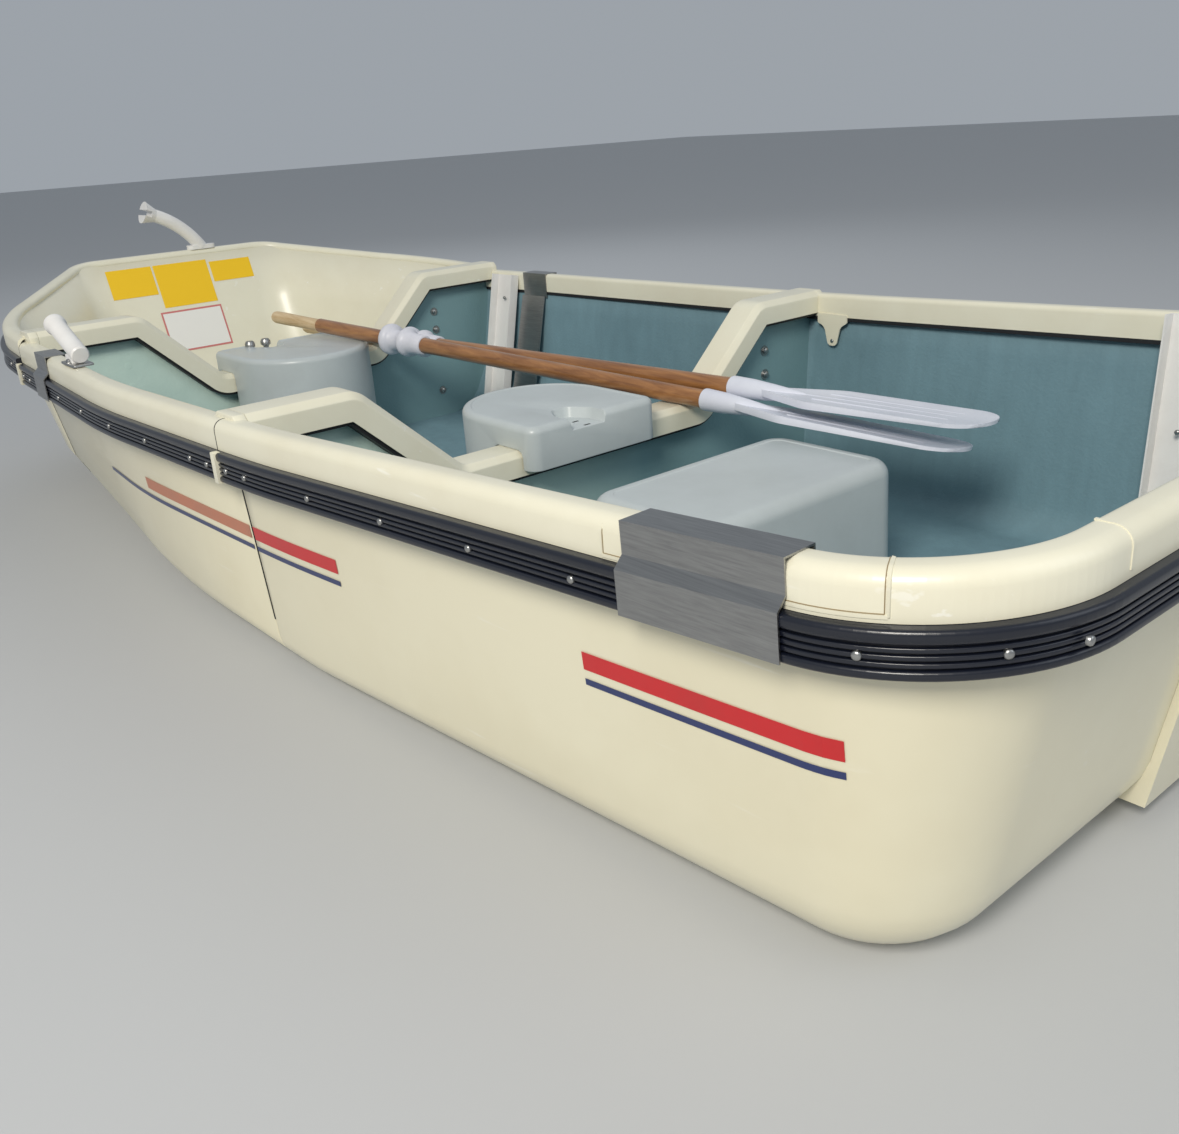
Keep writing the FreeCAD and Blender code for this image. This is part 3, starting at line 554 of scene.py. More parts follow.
rim_gelcoat, tree, shader = material("rim_gelcoat", (0.80, 0.77, 0.63), 0.36, coat=0.3, coat_rough=0.2)
drift = stain(tree, shader, (0.80, 0.77, 0.62), (0.71, 0.66, 0.50), 5.0, 0.5)
scratch(tree, shader, drift, (0.90, 0.89, 0.83), (9.0, 70.0, 70.0), 0.6, 0.36)
bumpy(tree, shader, 6.0, 90.0, 0.1, 0.10, 0.003)

inner_paint, tree, shader = material("inner_paint", (0.165, 0.285, 0.335), 0.6)
drift = stain(tree, shader, (0.175, 0.295, 0.345), (0.135, 0.235, 0.28), 3.0, 0.6)
brush = use(tree, streaks, Stretch=(30.0, 30.0, 6.0), Low=(0.90, 0.90, 0.90), High=(1.0, 1.0, 1.0))
mixed = blend(tree, 1.0, drift, brush.outputs["Color"], blend_type="MULTIPLY")
tree.links.new(mixed, shader.inputs["Base Color"])
bumpy(tree, shader, 28.0, 160.0, 0.45, 0.55, 0.003)

# the end walls' one paint carries painted light: pale and greenish to port as painted sunlight,
# and as dark as the inner paint to starboard as painted shade
panel_paint, tree, shader = material("panel_paint", (0.58, 0.74, 0.66), 0.5)
sunlit_mint = stain(tree, shader, (0.60, 0.76, 0.68), (0.50, 0.67, 0.60), 6.0, 0.6)
bumpy(tree, shader, 30.0, 160.0, 0.4, 0.45, 0.003)
split = node(tree, "ShaderNodeSeparateXYZ", [(0, object_place(tree))])
# the share of painted sunlight grows from starboard to port
sunlit_share = spread(tree, split.outputs["Y"], -0.15, 0.20)
tree.links.new(blend(tree, sunlit_share, (0.19, 0.32, 0.345, 1.0), sunlit_mint), shader.inputs["Base Color"])

# %% Rubber, plastics, metals and wood
rail_rubber, tree, shader = material("rail_rubber", (0.006, 0.008, 0.016), 0.30, coat=0.25, coat_rough=0.2)
bumpy(tree, shader, 40.0, 300.0, 0.5, 0.12)

# near black: the joint seams' own colour, and painted shadow in the strips under the caps' skirts and the
# return
seam_and_shadow_black, tree, shader = material("seam_and_shadow_black", (0.010, 0.010, 0.012), 0.6)

# a thin brown line for the foot and the ends of each recess
brown_line, tree, shader = material("brown_line", (0.30, 0.23, 0.13), 0.7)

seat_plastic, tree, shader = material("seat_plastic", (0.50, 0.54, 0.545), 0.36, coat=0.1, coat_rough=0.2)
stain(tree, shader, (0.51, 0.555, 0.56), (0.43, 0.465, 0.465), 7.0, 0.5)
bumpy(tree, shader, 18.0, 260.0, 0.3, 0.12)

# near black: painted shade for the openings of the seats' slots
painted_slot_shade, tree, shader = material("painted_slot_shade", (0.02, 0.022, 0.025), 0.7)

stainless, tree, shader = material("stainless", (0.42, 0.42, 0.41), 0.34, metallic=1.0)

sheet_steel, tree, shader = material("sheet_steel", (0.34, 0.34, 0.335), 0.34, metallic=1.0)
grain = use(tree, streaks, Stretch=(9.0, 420.0, 420.0), Low=(0.31, 0.31, 0.31), High=(0.41, 0.41, 0.405))
scratch(tree, shader, grain.outputs["Color"], (0.62, 0.62, 0.61), (20.0, 90.0, 90.0), 0.6, 0.34)
relief(tree, shader, grain.outputs["Height"], 0.15, 0.0004)

white_plastic, tree, shader = material("white_plastic", (0.80, 0.79, 0.77), 0.38, coat=0.1)
stain(tree, shader, (0.82, 0.81, 0.79), (0.70, 0.67, 0.64), 14.0, 0.5)

oar_wood, tree, shader = material("oar_wood", (0.34, 0.17, 0.065), 0.3, coat=0.5, coat_rough=0.1)
grain = use(tree, streaks, Stretch=(5.0, 90.0, 90.0), Low=(0.20, 0.078, 0.024), High=(0.42, 0.195, 0.068))
tree.links.new(grain.outputs["Color"], shader.inputs["Base Color"])
relief(tree, shader, grain.outputs["Height"], 0.08, 0.0004)

bare_wood, tree, shader = material("bare_wood", (0.62, 0.46, 0.27), 0.6)
grain = use(tree, streaks, Stretch=(5.0, 90.0, 90.0), Low=(0.50, 0.345, 0.18), High=(0.72, 0.565, 0.36))
tree.links.new(grain.outputs["Color"], shader.inputs["Base Color"])

blade_plastic, tree, shader = material("blade_plastic", (0.70, 0.72, 0.80), 0.42, coat=0.1)
drift = stain(tree, shader, (0.72, 0.74, 0.82), (0.60, 0.61, 0.70), 9.0, 0.5)
scratch(tree, shader, drift, (0.86, 0.87, 0.90), (10.0, 120.0, 60.0), 0.7, 0.42)

collar_plastic, tree, shader = material("collar_plastic", (0.68, 0.68, 0.74), 0.42)
shader.inputs["Subsurface Weight"].default_value = 0.25
shader.inputs["Subsurface Radius"].default_value = (0.006, 0.006, 0.006)

stripe_red, tree, shader = material("stripe_red", (0.50, 0.018, 0.022), 0.32, coat=0.2)
stain(tree, shader, (0.58, 0.010, 0.015), (0.47, 0.02, 0.02), 12.0, 0.5)
faded_red, tree, shader = material("faded_red", (0.52, 0.20, 0.12), 0.42)
stain(tree, shader, (0.52, 0.20, 0.12), (0.42, 0.20, 0.13), 12.0, 0.5)
stripe_navy, tree, shader = material("stripe_navy", (0.018, 0.032, 0.13), 0.32, coat=0.2)
label_yellow, tree, shader = material("label_yellow", (0.93, 0.58, 0.004), 0.5)
label_white, tree, shader = material("label_white", (0.84, 0.83, 0.80), 0.45)
label_pink, tree, shader = material("label_pink", (0.62, 0.19, 0.18), 0.45)
print(len(bpy.data.materials), "materials")

# %% [markdown]
# ## The hull shells
#
# Each section's skin is moulded in one piece: it rises from a flat bottom over a bilge to the sheer
# and closes with a transom or a blunt bow. The mould is described by three outlines, at the floor,
# the bilge and the top, so the skin is that same loft: a ring of edges extruded level by level, each
# point carried to its place on the next outline. A subdivision cage would be softer but would miss
# the true corners. The lowest levels form the rounded bottom edge, which is widest at the stern
# quarter. The section is then cut at its joints, and a Solidify modifier gives the laminate its
# thickness with the inner paint as its second material.

# %% The loft: rings of points from the floor to the top
LOFT = [half_outline(corners, 12) for corners in SKIN]


def closed_ring(points):
    """The whole outline from its port half, without the two middle points twice."""
    return list(points) + [Vector((p.x, -p.y)) for p in reversed(points[1:-1])]


RINGS = [closed_ring(points) for points in LOFT]


def on_skin(i, z):
    """The skin's plan point for outline index i at height z."""
    if z <= BILGE_HEIGHT:
        return RINGS[0][i].lerp(RINGS[1][i], z / BILGE_HEIGHT)
    return RINGS[1][i].lerp(RINGS[2][i], (z - BILGE_HEIGHT) / (LOFT_TOP - BILGE_HEIGHT))


def skin_point(i, part, drop):
    """A point on the skin at a depth below the sheer."""
    z = sheer(on_skin(i, 0.4).x, part) - drop
    for _ in range(4):
        z = sheer(on_skin(i, z).x, part) - drop
    plan = on_skin(i, z)
    return Vector((plan.x, plan.y, z))


# %% The rounded bottom edge
ROUND_STEPS = 6


def edge_radius(x):
    """Radius of the bottom edge at a station, between the corners where it is given."""
    known = [(corner[0], radius) for corner, radius in zip(SKIN[0], EDGE_ROUND)]
    for (ax, a), (bx, b) in zip(known, known[1:]):
        if x < bx:
            return a + (b - a) * max(0.0, (x - ax) / (bx - ax))
    return known[-1][1]


def outward(i):
    """The floor outline's normal at index i."""
    along = RINGS[0][(i + 1) % len(RINGS[0])] - RINGS[0][i - 1]
    return Vector((-along.y, along.x)).normalized()


def round_point(i, step):
    """A point of the quarter round between the flat bottom and the side."""
    radius = edge_radius(RINGS[0][i].x)
    angle = math.pi / 2 * step / ROUND_STEPS
    z = radius * (1 - math.cos(angle))
    plan = on_skin(i, z) - outward(i) * radius * (1 - math.sin(angle))
    return Vector((plan.x, plan.y, z))


# %% Building a skin from its rings
JOINT_ROLL = 0.0035    # width of the skin's small round at a joint
FOUND = 1e-5           # points closer than this count as one
UPPER_DROPS = (0.20, 0.10, 0.004)    # levels of the side, below the sheer


def slice_at(bm, x, **cleared):
    """Cut the mesh at a station; clear_inner drops what is aft, clear_outer what is forward."""
    bmesh.ops.bisect_plane(bm, geom=bm.verts[:] + bm.edges[:] + bm.faces[:], plane_co=(x, 0, 0),
                           plane_no=(1, 0, 0), **cleared)


def first_ring(bm, level):
    """A closed floor from a level's points; returns its edges and its points."""
    count = len(RINGS[0])
    ring = [bm.verts.new(level(i)) for i in range(count)]
    edges = [bm.edges.new((ring[i], ring[(i + 1) % count])) for i in range(count)]
    bmesh.ops.contextual_create(bm, geom=edges)
    return edges, ring


def raise_ring(bm, edges, ring, level):
    """Extrude a ring of edges and carry each new point to its place on the next level."""
    made = bmesh.ops.extrude_edge_only(bm, edges=edges)["geom"]
    fresh = {v: min(range(len(ring)), key=lambda i: (ring[i].co - v.co).length)
             for v in made if isinstance(v, bmesh.types.BMVert)}
    edges = [e for e in made if isinstance(e, bmesh.types.BMEdge) and all(v in fresh for v in e.verts)]
    raised = [None] * len(ring)
    for vert, i in fresh.items():
        raised[i] = vert
        vert.co = level(i)
    return edges, raised


def laminate(made, thickness, offset):
    """Give a skin its thickness."""
    wall = made.modifiers.new("laminate", "SOLIDIFY")
    wall.thickness = thickness
    wall.offset = offset
    return wall


# %% Hull skins
def roll_in(bm, x):
    """Draw the skin's edge at a joint a little inwards."""
    for vert in bm.verts:
        if abs(vert.co.x - x) < FOUND:
            inward = -Vector((0.0, vert.normal.y, vert.normal.z)).normalized()
            vert.co += inward * JOINT_ROLL * 0.7


def hull(name, part, low, high):
    """The skin between two stations; None stands for the boat's own end."""
    bm = bmesh.new()
    levels = [lambda i, step=step: round_point(i, step) for step in range(1, ROUND_STEPS + 1)]
    levels.append(lambda i: RINGS[1][i].to_3d() + Vector((0, 0, BILGE_HEIGHT)))
    levels += [lambda i, drop=drop: skin_point(i, part, drop) for drop in UPPER_DROPS]
    edges, ring = first_ring(bm, lambda i: round_point(i, 0))
    for level in levels:
        edges, ring = raise_ring(bm, edges, ring, level)
    if low is not None:
        slice_at(bm, low, clear_inner=True)
        slice_at(bm, low + JOINT_ROLL)
    if high is not None:
        slice_at(bm, high, clear_outer=True)
        slice_at(bm, high - JOINT_ROLL)
    bmesh.ops.recalc_face_normals(bm, faces=bm.faces)
    bm.normal_update()
    if sum(f.normal.z * f.calc_area() for f in bm.faces) > 0:
        bmesh.ops.reverse_faces(bm, faces=bm.faces)
        bm.normal_update()
    for x in (low, high):
        if x is not None:
            roll_in(bm, x)
    made = dress(linked(name, bm), name, hull_gelcoat, "boat", 50)
    made.data.materials.append(inner_paint)
    wall = laminate(made, HULL_WALL, -1.0)
    wall.use_even_offset = True
    wall.material_offset = 1
    wall.material_offset_rim = 0
    return made


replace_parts(hull("stern_skin", "aft", None, REAR_JOINT - GAP), "stern_hull")
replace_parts(hull("middle_skin", "aft", REAR_JOINT + GAP, FRONT_JOINT - GAP), "middle_hull")
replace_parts(hull("bow_skin", "bow", FRONT_JOINT + GAP, None), "bow_hull")

# %% [markdown]
# ## The gunwales
#
# The rim of a moulded boat is a hollow bead: an outer face that meets the rubber, a strongly rounded
# top and, in the stern and the middle, a return that hangs down inside. It is one cross-section
# carried along the outline. The section is written as corners with radii, outside first and then
# back along the inside of the wall, and the sweep keeps it upright on the sheer.

# %% Gunwale sweeps
WALL = 0.004
RIM_ROUND = 0.016


def moulding(outer, inner):
    """A closed section from the corners of its outside and of its inside."""
    return [tuple(p) for p in round_path(outer, 5)] + [tuple(p) for p in round_path(inner, 5)]


FULL_RIM = moulding(
    [(0.0, -GUNWALE_DROP, 0), (0.0, 0.0, RIM_ROUND), (-GUNWALE_WIDTH, 0.0, 0.009),
     (-GUNWALE_WIDTH, -INNER_DROP, 0)],
    [(-GUNWALE_WIDTH + WALL, -INNER_DROP, 0), (-GUNWALE_WIDTH + WALL, -WALL, 0.005),
     (-WALL, -WALL, RIM_ROUND - WALL), (-WALL, -GUNWALE_DROP, 0)])
for name in ("stern", "middle"):
    bm = bmesh.new()
    for path in RUNS[name]:
        sweep(bm, FULL_RIM, path)
    rim = piece(name + "_rim", bm, rim_gelcoat)
    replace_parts(rim, name + "_gunwale")

# %% [markdown]
# ### The bow's rim and liner
#
# The bow has no return. Its rim rolls over and meets an inner skin, so the bow is a double wall that
# is smooth on both sides. The liner follows the same loft as the outer skin, moved in by the gap and
# with a wider round at the floor.

# %% Bow rim and liner
ROLLED_RIM = moulding(
    [(0.0, -GUNWALE_DROP, 0), (0.0, 0.0, RIM_ROUND), (-GUNWALE_WIDTH, 0.0, 0.012),
     (-GUNWALE_WIDTH, -0.016, 0.004), (-0.028, -0.020, 0)],
    [(-0.026, -0.016, 0), (-0.034, -0.012, 0.003), (-0.034, -WALL, 0.008), (-WALL, -WALL, 0.018),
     (-WALL, -GUNWALE_DROP, 0)])
bm = bmesh.new()
sweep(bm, ROLLED_RIM, RUNS["bow"][0])
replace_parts(piece("bow_rim", bm, rim_gelcoat), "bow_gunwale")

LINER_IN = 0.020
LINER_ROUND = 0.075
LINER_DROPS = (0.26, 0.15, 0.006)    # levels of the liner's wall, below the sheer
LINER_BACK = 0.006                   # from the joint to the liner's after edge


def liner_point(i, z, inward=0.0):
    """A point of the liner for outline index i at height z."""
    plan = on_skin(i, z) - outward(i) * (LINER_IN + inward)
    return Vector((plan.x, plan.y, z))


def liner_level(i, step):
    """Rings of the liner: the round at the floor, then the wall up to the rim."""
    if step <= ROUND_STEPS:
        angle = math.pi / 2 * step / ROUND_STEPS
        rise = LINER_ROUND * (1 - math.cos(angle))
        return liner_point(i, LINER_IN + rise, LINER_ROUND * (1 - math.sin(angle)))
    drop = LINER_DROPS[step - ROUND_STEPS - 1]
    return liner_point(i, skin_point(i, "bow", drop).z)


bm = bmesh.new()
edges, ring = first_ring(bm, lambda i: liner_level(i, 0))
for step in range(1, ROUND_STEPS + len(LINER_DROPS) + 1):
    edges, ring = raise_ring(bm, edges, ring, lambda i: liner_level(i, step))
slice_at(bm, FRONT_JOINT + GAP + LINER_BACK, clear_inner=True)
liner = piece("bow_inner_skin", bm, rim_gelcoat)
laminate(liner, WALL, 1.0)
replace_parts(liner, "bow_liner")

# %% [markdown]
# ## The rubber rail
#
# An extruded rubber strip covers the seam below the rim: a large bead on top, three thin ribs and a
# smaller bead below. Its back follows the skin, which leans away from it, so the root's depth is
# measured at each station. Ribs as geometry hold up at a close view, where a bump map would go flat
# at the outline. Small pan-head screws hold it, closer together near the joints.

# %% Rub rail
RIB_STEP, RIB_HEIGHT = 0.0066, 0.0046
RIB_BACK, RIB_FRONT = 0.0062, 0.0098
RAIL_DROP = 0.0690    # depth of the rail's screws below the sheer


def rib_section():
    """The rail's section: the upper bead, three ribs and the lower bead."""
    corners = [(ROOT, -0.0445, 0), (0.012, -0.0445, 0.0045), (0.012, -0.0580, 0.0045), (RIB_BACK, -0.0580, 0)]
    for k in range(3):
        top = -0.0602 - RIB_STEP * k
        corners += [(RIB_BACK, top, 0), (RIB_FRONT, top, 0.0013), (RIB_FRONT, top - RIB_HEIGHT, 0.0013),
                    (RIB_BACK, top - RIB_HEIGHT, 0)]
    corners += [(RIB_BACK, -0.0800, 0), (0.0115, -0.0800, 0.003), (0.0115, -0.0890, 0.003), (ROOT, -0.0890, 0)]
    return [tuple(p) for p in round_path(corners, 3)]


def skin_distance(point, z):
    """Plan distance from a point of the gunwale's line to the hull skin at height z."""
    here = Vector((point.x, abs(point.y)))
    line = [on_skin(i, z) for i in range(len(LOFT[0]))]
    best = 1.0
    for a, b in zip(line, line[1:]):
        along = b - a
        if along.length > 0:
            share = max(0.0, min(1.0, (here - a).dot(along) / along.length_squared))
            best = min(best, (here - a - along * share).length)
    return best


RAIL = rib_section()
for name, paths in RUNS.items():
    bm = bmesh.new()
    for path in paths:
        sweep(bm, RAIL, path, root=lambda p, up: skin_distance(p, p.z + up) + 0.002)
    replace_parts(piece(name + "_rail", bm, rail_rubber), name + "_rub_rail")

# %% Turned shapes
UP = Vector((0, 0, 1))


def spun(name, profile, place, along, material_used, body="boat", steps=20, sharp=38.0):
    """Turn a profile (radius, height) round an axis that starts at place."""
    bm = bmesh.new()
    add_spun(bm, profile, place, along, steps)
    return piece(name, bm, material_used, body, sharp)


def add_spun(bm, profile, place, along, steps=20):
    """The same, into a bmesh that may hold others."""
    verts = [bm.verts.new((radius, 0.0, height)) for radius, height in profile]
    edges = [bm.edges.new(pair) for pair in zip(verts, verts[1:])]
    bmesh.ops.spin(bm, geom=verts + edges, cent=(0, 0, 0), axis=(0, 0, 1), dvec=(0, 0, 0),
                   angle=math.tau, steps=steps, use_merge=True, use_duplicate=False)
    # what the spin made is what can be reached from the profile
    found = set(verts)
    grow = list(verts)
    while grow:
        vert = grow.pop()
        for edge in vert.link_edges:
            other = edge.other_vert(vert)
            if other not in found:
                found.add(other)
                grow.append(other)
    bmesh.ops.remove_doubles(bm, verts=list(found), dist=1e-6)
    found = [v for v in found if v.is_valid]
    turn = UP.rotation_difference(Vector(along)).to_matrix().to_4x4()
    bmesh.ops.transform(bm, matrix=Matrix.Translation(place) @ turn, verts=found)


# %% Rail screws
SCREW = ((0.0, 0.0020), (0.0020, 0.0019), (0.0038, 0.0012), (0.0046, 0.0), (0.0046, -0.0030), (0.0, -0.0030))
# stations of the rail's screws, forward of the rear joint, and across the transom
SCREW_ALONG = (-1.207, -1.122, -0.960, -0.800, -0.631, -0.455, -0.280, -0.100, -0.039, 0.030, 0.094,
               0.284, 0.458, 0.640, 0.820, 0.985, 1.083, 1.147, 1.260, 1.440, 1.620)
SCREW_ACROSS = (-0.50, -0.17, 0.17, 0.50)
SCREW_OUT = 0.0104       # from the gunwale's line out to a screw's seat
SADDLE_CLEAR = 0.006     # no screw comes nearer to a saddle


def at_station(line, x):
    """The point of a port plan line at a station, and the way outboard there."""
    for a, b in zip(line, line[1:]):
        if min(a.x, b.x) <= x <= max(a.x, b.x) and a.x != b.x:
            along = (b - a).normalized()
            return a.lerp(b, (x - a.x) / (b.x - a.x)), Vector((-along.y, along.x, 0.0))


def part_at(x):
    """Which sheer line holds at a station."""
    return "aft" if x < FRONT_JOINT else "bow"


def on_gunwale(x, drop, out):
    """A port point beside the gunwale's line at a station, and the way outboard there."""
    plan, side = at_station(outline, x)
    return Vector((plan.x, plan.y, sheer(x, part_at(x)) - drop)) + side * out, side


bm = bmesh.new()
for x in SCREW_ALONG:
    point, side = on_gunwale(REAR_JOINT + x, RAIL_DROP, SCREW_OUT)
    for word, mirror in (("port", 1), ("starboard", -1)):
        saddles = [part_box(word + end) for end in ("_stern_saddle", "_front_saddle")]
        if not any(low.x - SADDLE_CLEAR < point.x < high.x + SADDLE_CLEAR for low, high in saddles):
            add_spun(bm, SCREW, Vector((point.x, point.y * mirror, point.z)),
                     Vector((side.x, side.y * mirror, 0)))
for y in SCREW_ACROSS:
    place = Vector((TRANSOM - SCREW_OUT, y, sheer(TRANSOM, "aft") - RAIL_DROP))
    add_spun(bm, SCREW, place, Vector((-1, 0, 0)))
piece("rail_screws", bm, stainless)
print(len(SCREW_ALONG), "stations of screws on each side")

# %% [markdown]
# ## Seams, webs and moulded edges
#
# The joint shows as a dark slit that runs up the skin and over the gunwale; a cream plate holds the
# rail's end there. Small webs hang from the gunwale's return beside each joint, with one hole. The
# gunwale is recessed where a saddle sits and at the transom's middle, and the edge of each recess
# reads as a fine line. Slits and edges are thin bars swept along the moulding's own section.

# %% Paths and bars for fine edges
def rim_line(point, side, mirror, lift=0.0, low=0.040, across=GUNWALE_WIDTH):
    """A path over the gunwale's section at a point: up its outside and in across its top."""
    corners = [(lift, -low, 0), (lift, lift, RIM_ROUND), (lift - across, lift, 0)]
    path = [point + side * p.x + Vector((0, 0, p.y)) for p in round_path(corners, 8)]
    return [Vector((p.x, p.y * mirror, p.z)) for p in path]


def bar(wide, high, sunk):
    """A flat bar's section: its foot is sunk below the path."""
    return [(-wide / 2, -sunk), (wide / 2, -sunk), (wide / 2, high), (-wide / 2, high)]


def skin_at(x, z):
    """The port skin's plan point at a station and height, and its way out."""
    plan, out = at_station([on_skin(i, z) for i in range(len(LOFT[0]))], x)
    return plan, out.xy


def mirrored(points, mirror):
    """Port points as they are, or on the starboard side in the opposite order."""
    return points if mirror > 0 else [Vector((p.x, -p.y, p.z)) for p in reversed(points)]


# %% Joint seams and rail end plates
SEAM = bar(0.0022, 0.0002, 0.003)
SEAM_HEIGHTS = (0.075, 0.123, 0.20, 0.26)
SEAM_DROP = 0.086                    # the seam's end below the sheer, under the rail
PLATE = bar(0.013, 0.0052, 0.006)
PLATE_BACK, PLATE_OUT = 0.0105, 0.0095
PLATE_DROPS = (0.0915, 0.0435)

bm = bmesh.new()
for x in (REAR_JOINT, FRONT_JOINT):
    point, side = on_gunwale(x - 0.0001, 0.0, 0.0)
    top = sheer(x - 0.001, "aft")
    skin = [Vector((x, skin_at(x, z)[0].y, z)) for z in (*SEAM_HEIGHTS, top - SEAM_DROP)]
    over = rim_line(point, side, 1, low=GUNWALE_DROP)
    for mirror in (1, -1):
        for path in (over, skin):
            sweep(bm, SEAM, mirrored(path, mirror), side=(1, 0, 0))
piece("joint_seams", bm, seam_and_shadow_black)

bm = bmesh.new()
for joint in (REAR_JOINT, FRONT_JOINT):
    point, side = on_gunwale(joint - PLATE_BACK, 0.0, 0.0)
    path = [point + side * PLATE_OUT - Vector((0, 0, drop)) for drop in PLATE_DROPS]
    for mirror in (1, -1):
        sweep(bm, PLATE, mirrored(path, mirror), side=(1, 0, 0), soft=0.0015)
piece("rail_end_plates", bm, rim_gelcoat)

# %% Edges of the recesses
RECESS_AFT, RECESS_FORE = -1.482, -1.183
RECESS_DROP = 0.036
TRANSOM_RECESS = 0.42
FOOT_STEPS = 40


def recess_edge(section, shift):
    """The ends and the foot of each saddle's recess, and the ends of the transom's."""
    bm = bmesh.new()
    low, high = RECESS_AFT - shift, RECESS_FORE + shift
    drop = RECESS_DROP + shift
    for mirror in (1, -1):
        for x in (low, high):
            point, side = on_gunwale(x, 0.0, 0.0)
            over = rim_line(point, side, mirror, low=drop, across=0.031)
            sweep(bm, section, over[::mirror], side=(1, 0, 0))
        foot = []
        for k in range(FOOT_STEPS + 1):
            point, side = on_gunwale(low + (high - low) * k / FOOT_STEPS, drop, 0.0)
            foot.append(Vector((point.x, point.y * mirror, point.z)))
        sweep(bm, section, foot[::-mirror], side=(0, 0, 1))
    for y in (TRANSOM_RECESS + shift, -TRANSOM_RECESS - shift):
        point = Vector((TRANSOM, y, sheer(TRANSOM, "aft")))
        over = rim_line(point, Vector((-1, 0, 0)), 1, low=RECESS_DROP, across=0.034)
        sweep(bm, section, over, side=(0, 1, 0))
    return bm


piece("recess_lips", recess_edge(bar(0.0036, 0.0009, 0.001), 0.0024), rim_gelcoat)
# a thin brown line along the foot and the ends of each recess
piece("recess_dark_lines", recess_edge(bar(0.0009, 0.0003, 0.001), 0.0), brown_line)

# %% A painted shadow strip and webs under the return
# a dark strip below the return: painted shadow in the gap between the return and the inner wall
RETURN_SHADOW_SECTION = [(-0.0376, -0.0462), (-0.0376, -0.0545), (-0.0340, -0.0545), (-0.0340, -0.0462)]
bm = bmesh.new()
for path in RUNS["stern"] + RUNS["middle"]:
    sweep(bm, RETURN_SHADOW_SECTION, path)
piece("return_painted_shadow", bm, seam_and_shadow_black)

WEB_THICK = 0.003
WEBS = ((REAR_JOINT - 0.042, REAR_JOINT - 0.120), (FRONT_JOINT - 0.046, FRONT_JOINT - 0.112))
bm = bmesh.new()
for head, foot in WEBS:
    middle = (head + foot) / 2
    point, side = on_gunwale(middle, INNER_DROP, -GUNWALE_WIDTH - 0.0002)
    top = point.z + 0.006
    web_outline = [(head, top, 0), (head, top - 0.020, 0.004), (middle + 0.021, top - 0.027, 0.018),
                   (middle + 0.011, top - 0.067, 0.010), (middle - 0.011, top - 0.067, 0.010),
                   (middle - 0.021, top - 0.027, 0.018), (foot, top - 0.016, 0.004), (foot, top, 0)]
    for mirror in (1, -1):
        y = (point.y - 0.0032) * mirror
        ring = [bm.verts.new((p.x, y, p.y)) for p in round_path(web_outline, 5, True)]
        face = extruded(bm, bm.faces.new(ring))
        bmesh.ops.translate(bm, vec=(0, WEB_THICK * mirror, 0), verts=face.verts)
piece("return_webs", bm, rim_gelcoat)

bm = bmesh.new()
for x in (REAR_JOINT - 0.081, FRONT_JOINT - 0.079):
    point, side = on_gunwale(x, INNER_DROP + 0.051, -GUNWALE_WIDTH - 0.0034)
    for mirror in (1, -1):
        add_spun(bm, SCREW, Vector((x, point.y * mirror, point.z)), Vector((0, -mirror, 0)))
piece("web_screws", bm, stainless)

# %% [markdown]
# ## The joint caps
#
# Where two sections meet, a moulded channel covers both end walls. It stands high at the sides and
# drops to a low middle where one steps over and where a small seat sits. Its cross-section has a flat
# top with chamfered shoulders and two skirts; it is swept across the boat through rounded bends. A
# dark strip fills the gap between the skirts and the walls: it is painted shadow, and it is the line
# that outlines each wall. Both end walls keep their given shape; their one paint is pale and greenish
# to port, which is painted sunlight, and as dark as the inner paint to starboard, which is painted shade.

# %% Sections of the caps and of the painted shadow strips
CAP_HALF = 0.040
CAP_SKIRT = 0.046
CAP_END_SKIRT = 0.030
CAP_SHOULDER, CAP_CHAMFER = 0.029, 0.011
CAP_WALL = 0.005


def cap_outside(skirt):
    """Corners of a cap's outside, from one skirt over the top to the other."""
    return [(-CAP_HALF, -skirt, 0), (-CAP_HALF, -CAP_CHAMFER, 0.005), (-CAP_SHOULDER, 0.0, 0.005),
            (CAP_SHOULDER, 0.0, 0.005), (CAP_HALF, -CAP_CHAMFER, 0.005), (CAP_HALF, -skirt, 0)]


CAP_SECTION = moulding(
    cap_outside(CAP_SKIRT),
    [(CAP_HALF - CAP_WALL, -CAP_SKIRT, 0), (CAP_HALF - CAP_WALL, -CAP_WALL, 0.004),
     (-CAP_HALF + CAP_WALL, -CAP_WALL, 0.004), (-CAP_HALF + CAP_WALL, -CAP_SKIRT, 0)])
CAP_END = [tuple(p) for p in round_path(cap_outside(CAP_END_SKIRT), 5)]
# a strip under each skirt: painted shadow in the gap between a cap and the end walls
SKIRT_SHADOW_SECTION = [(-0.0345, -0.052), (-0.0345, -0.044), (0.0345, -0.044), (0.0345, -0.052)]

# %% Caps and painted shadow strips
CAP_LIP = 0.019    # how far a cap's end reaches over the gunwale
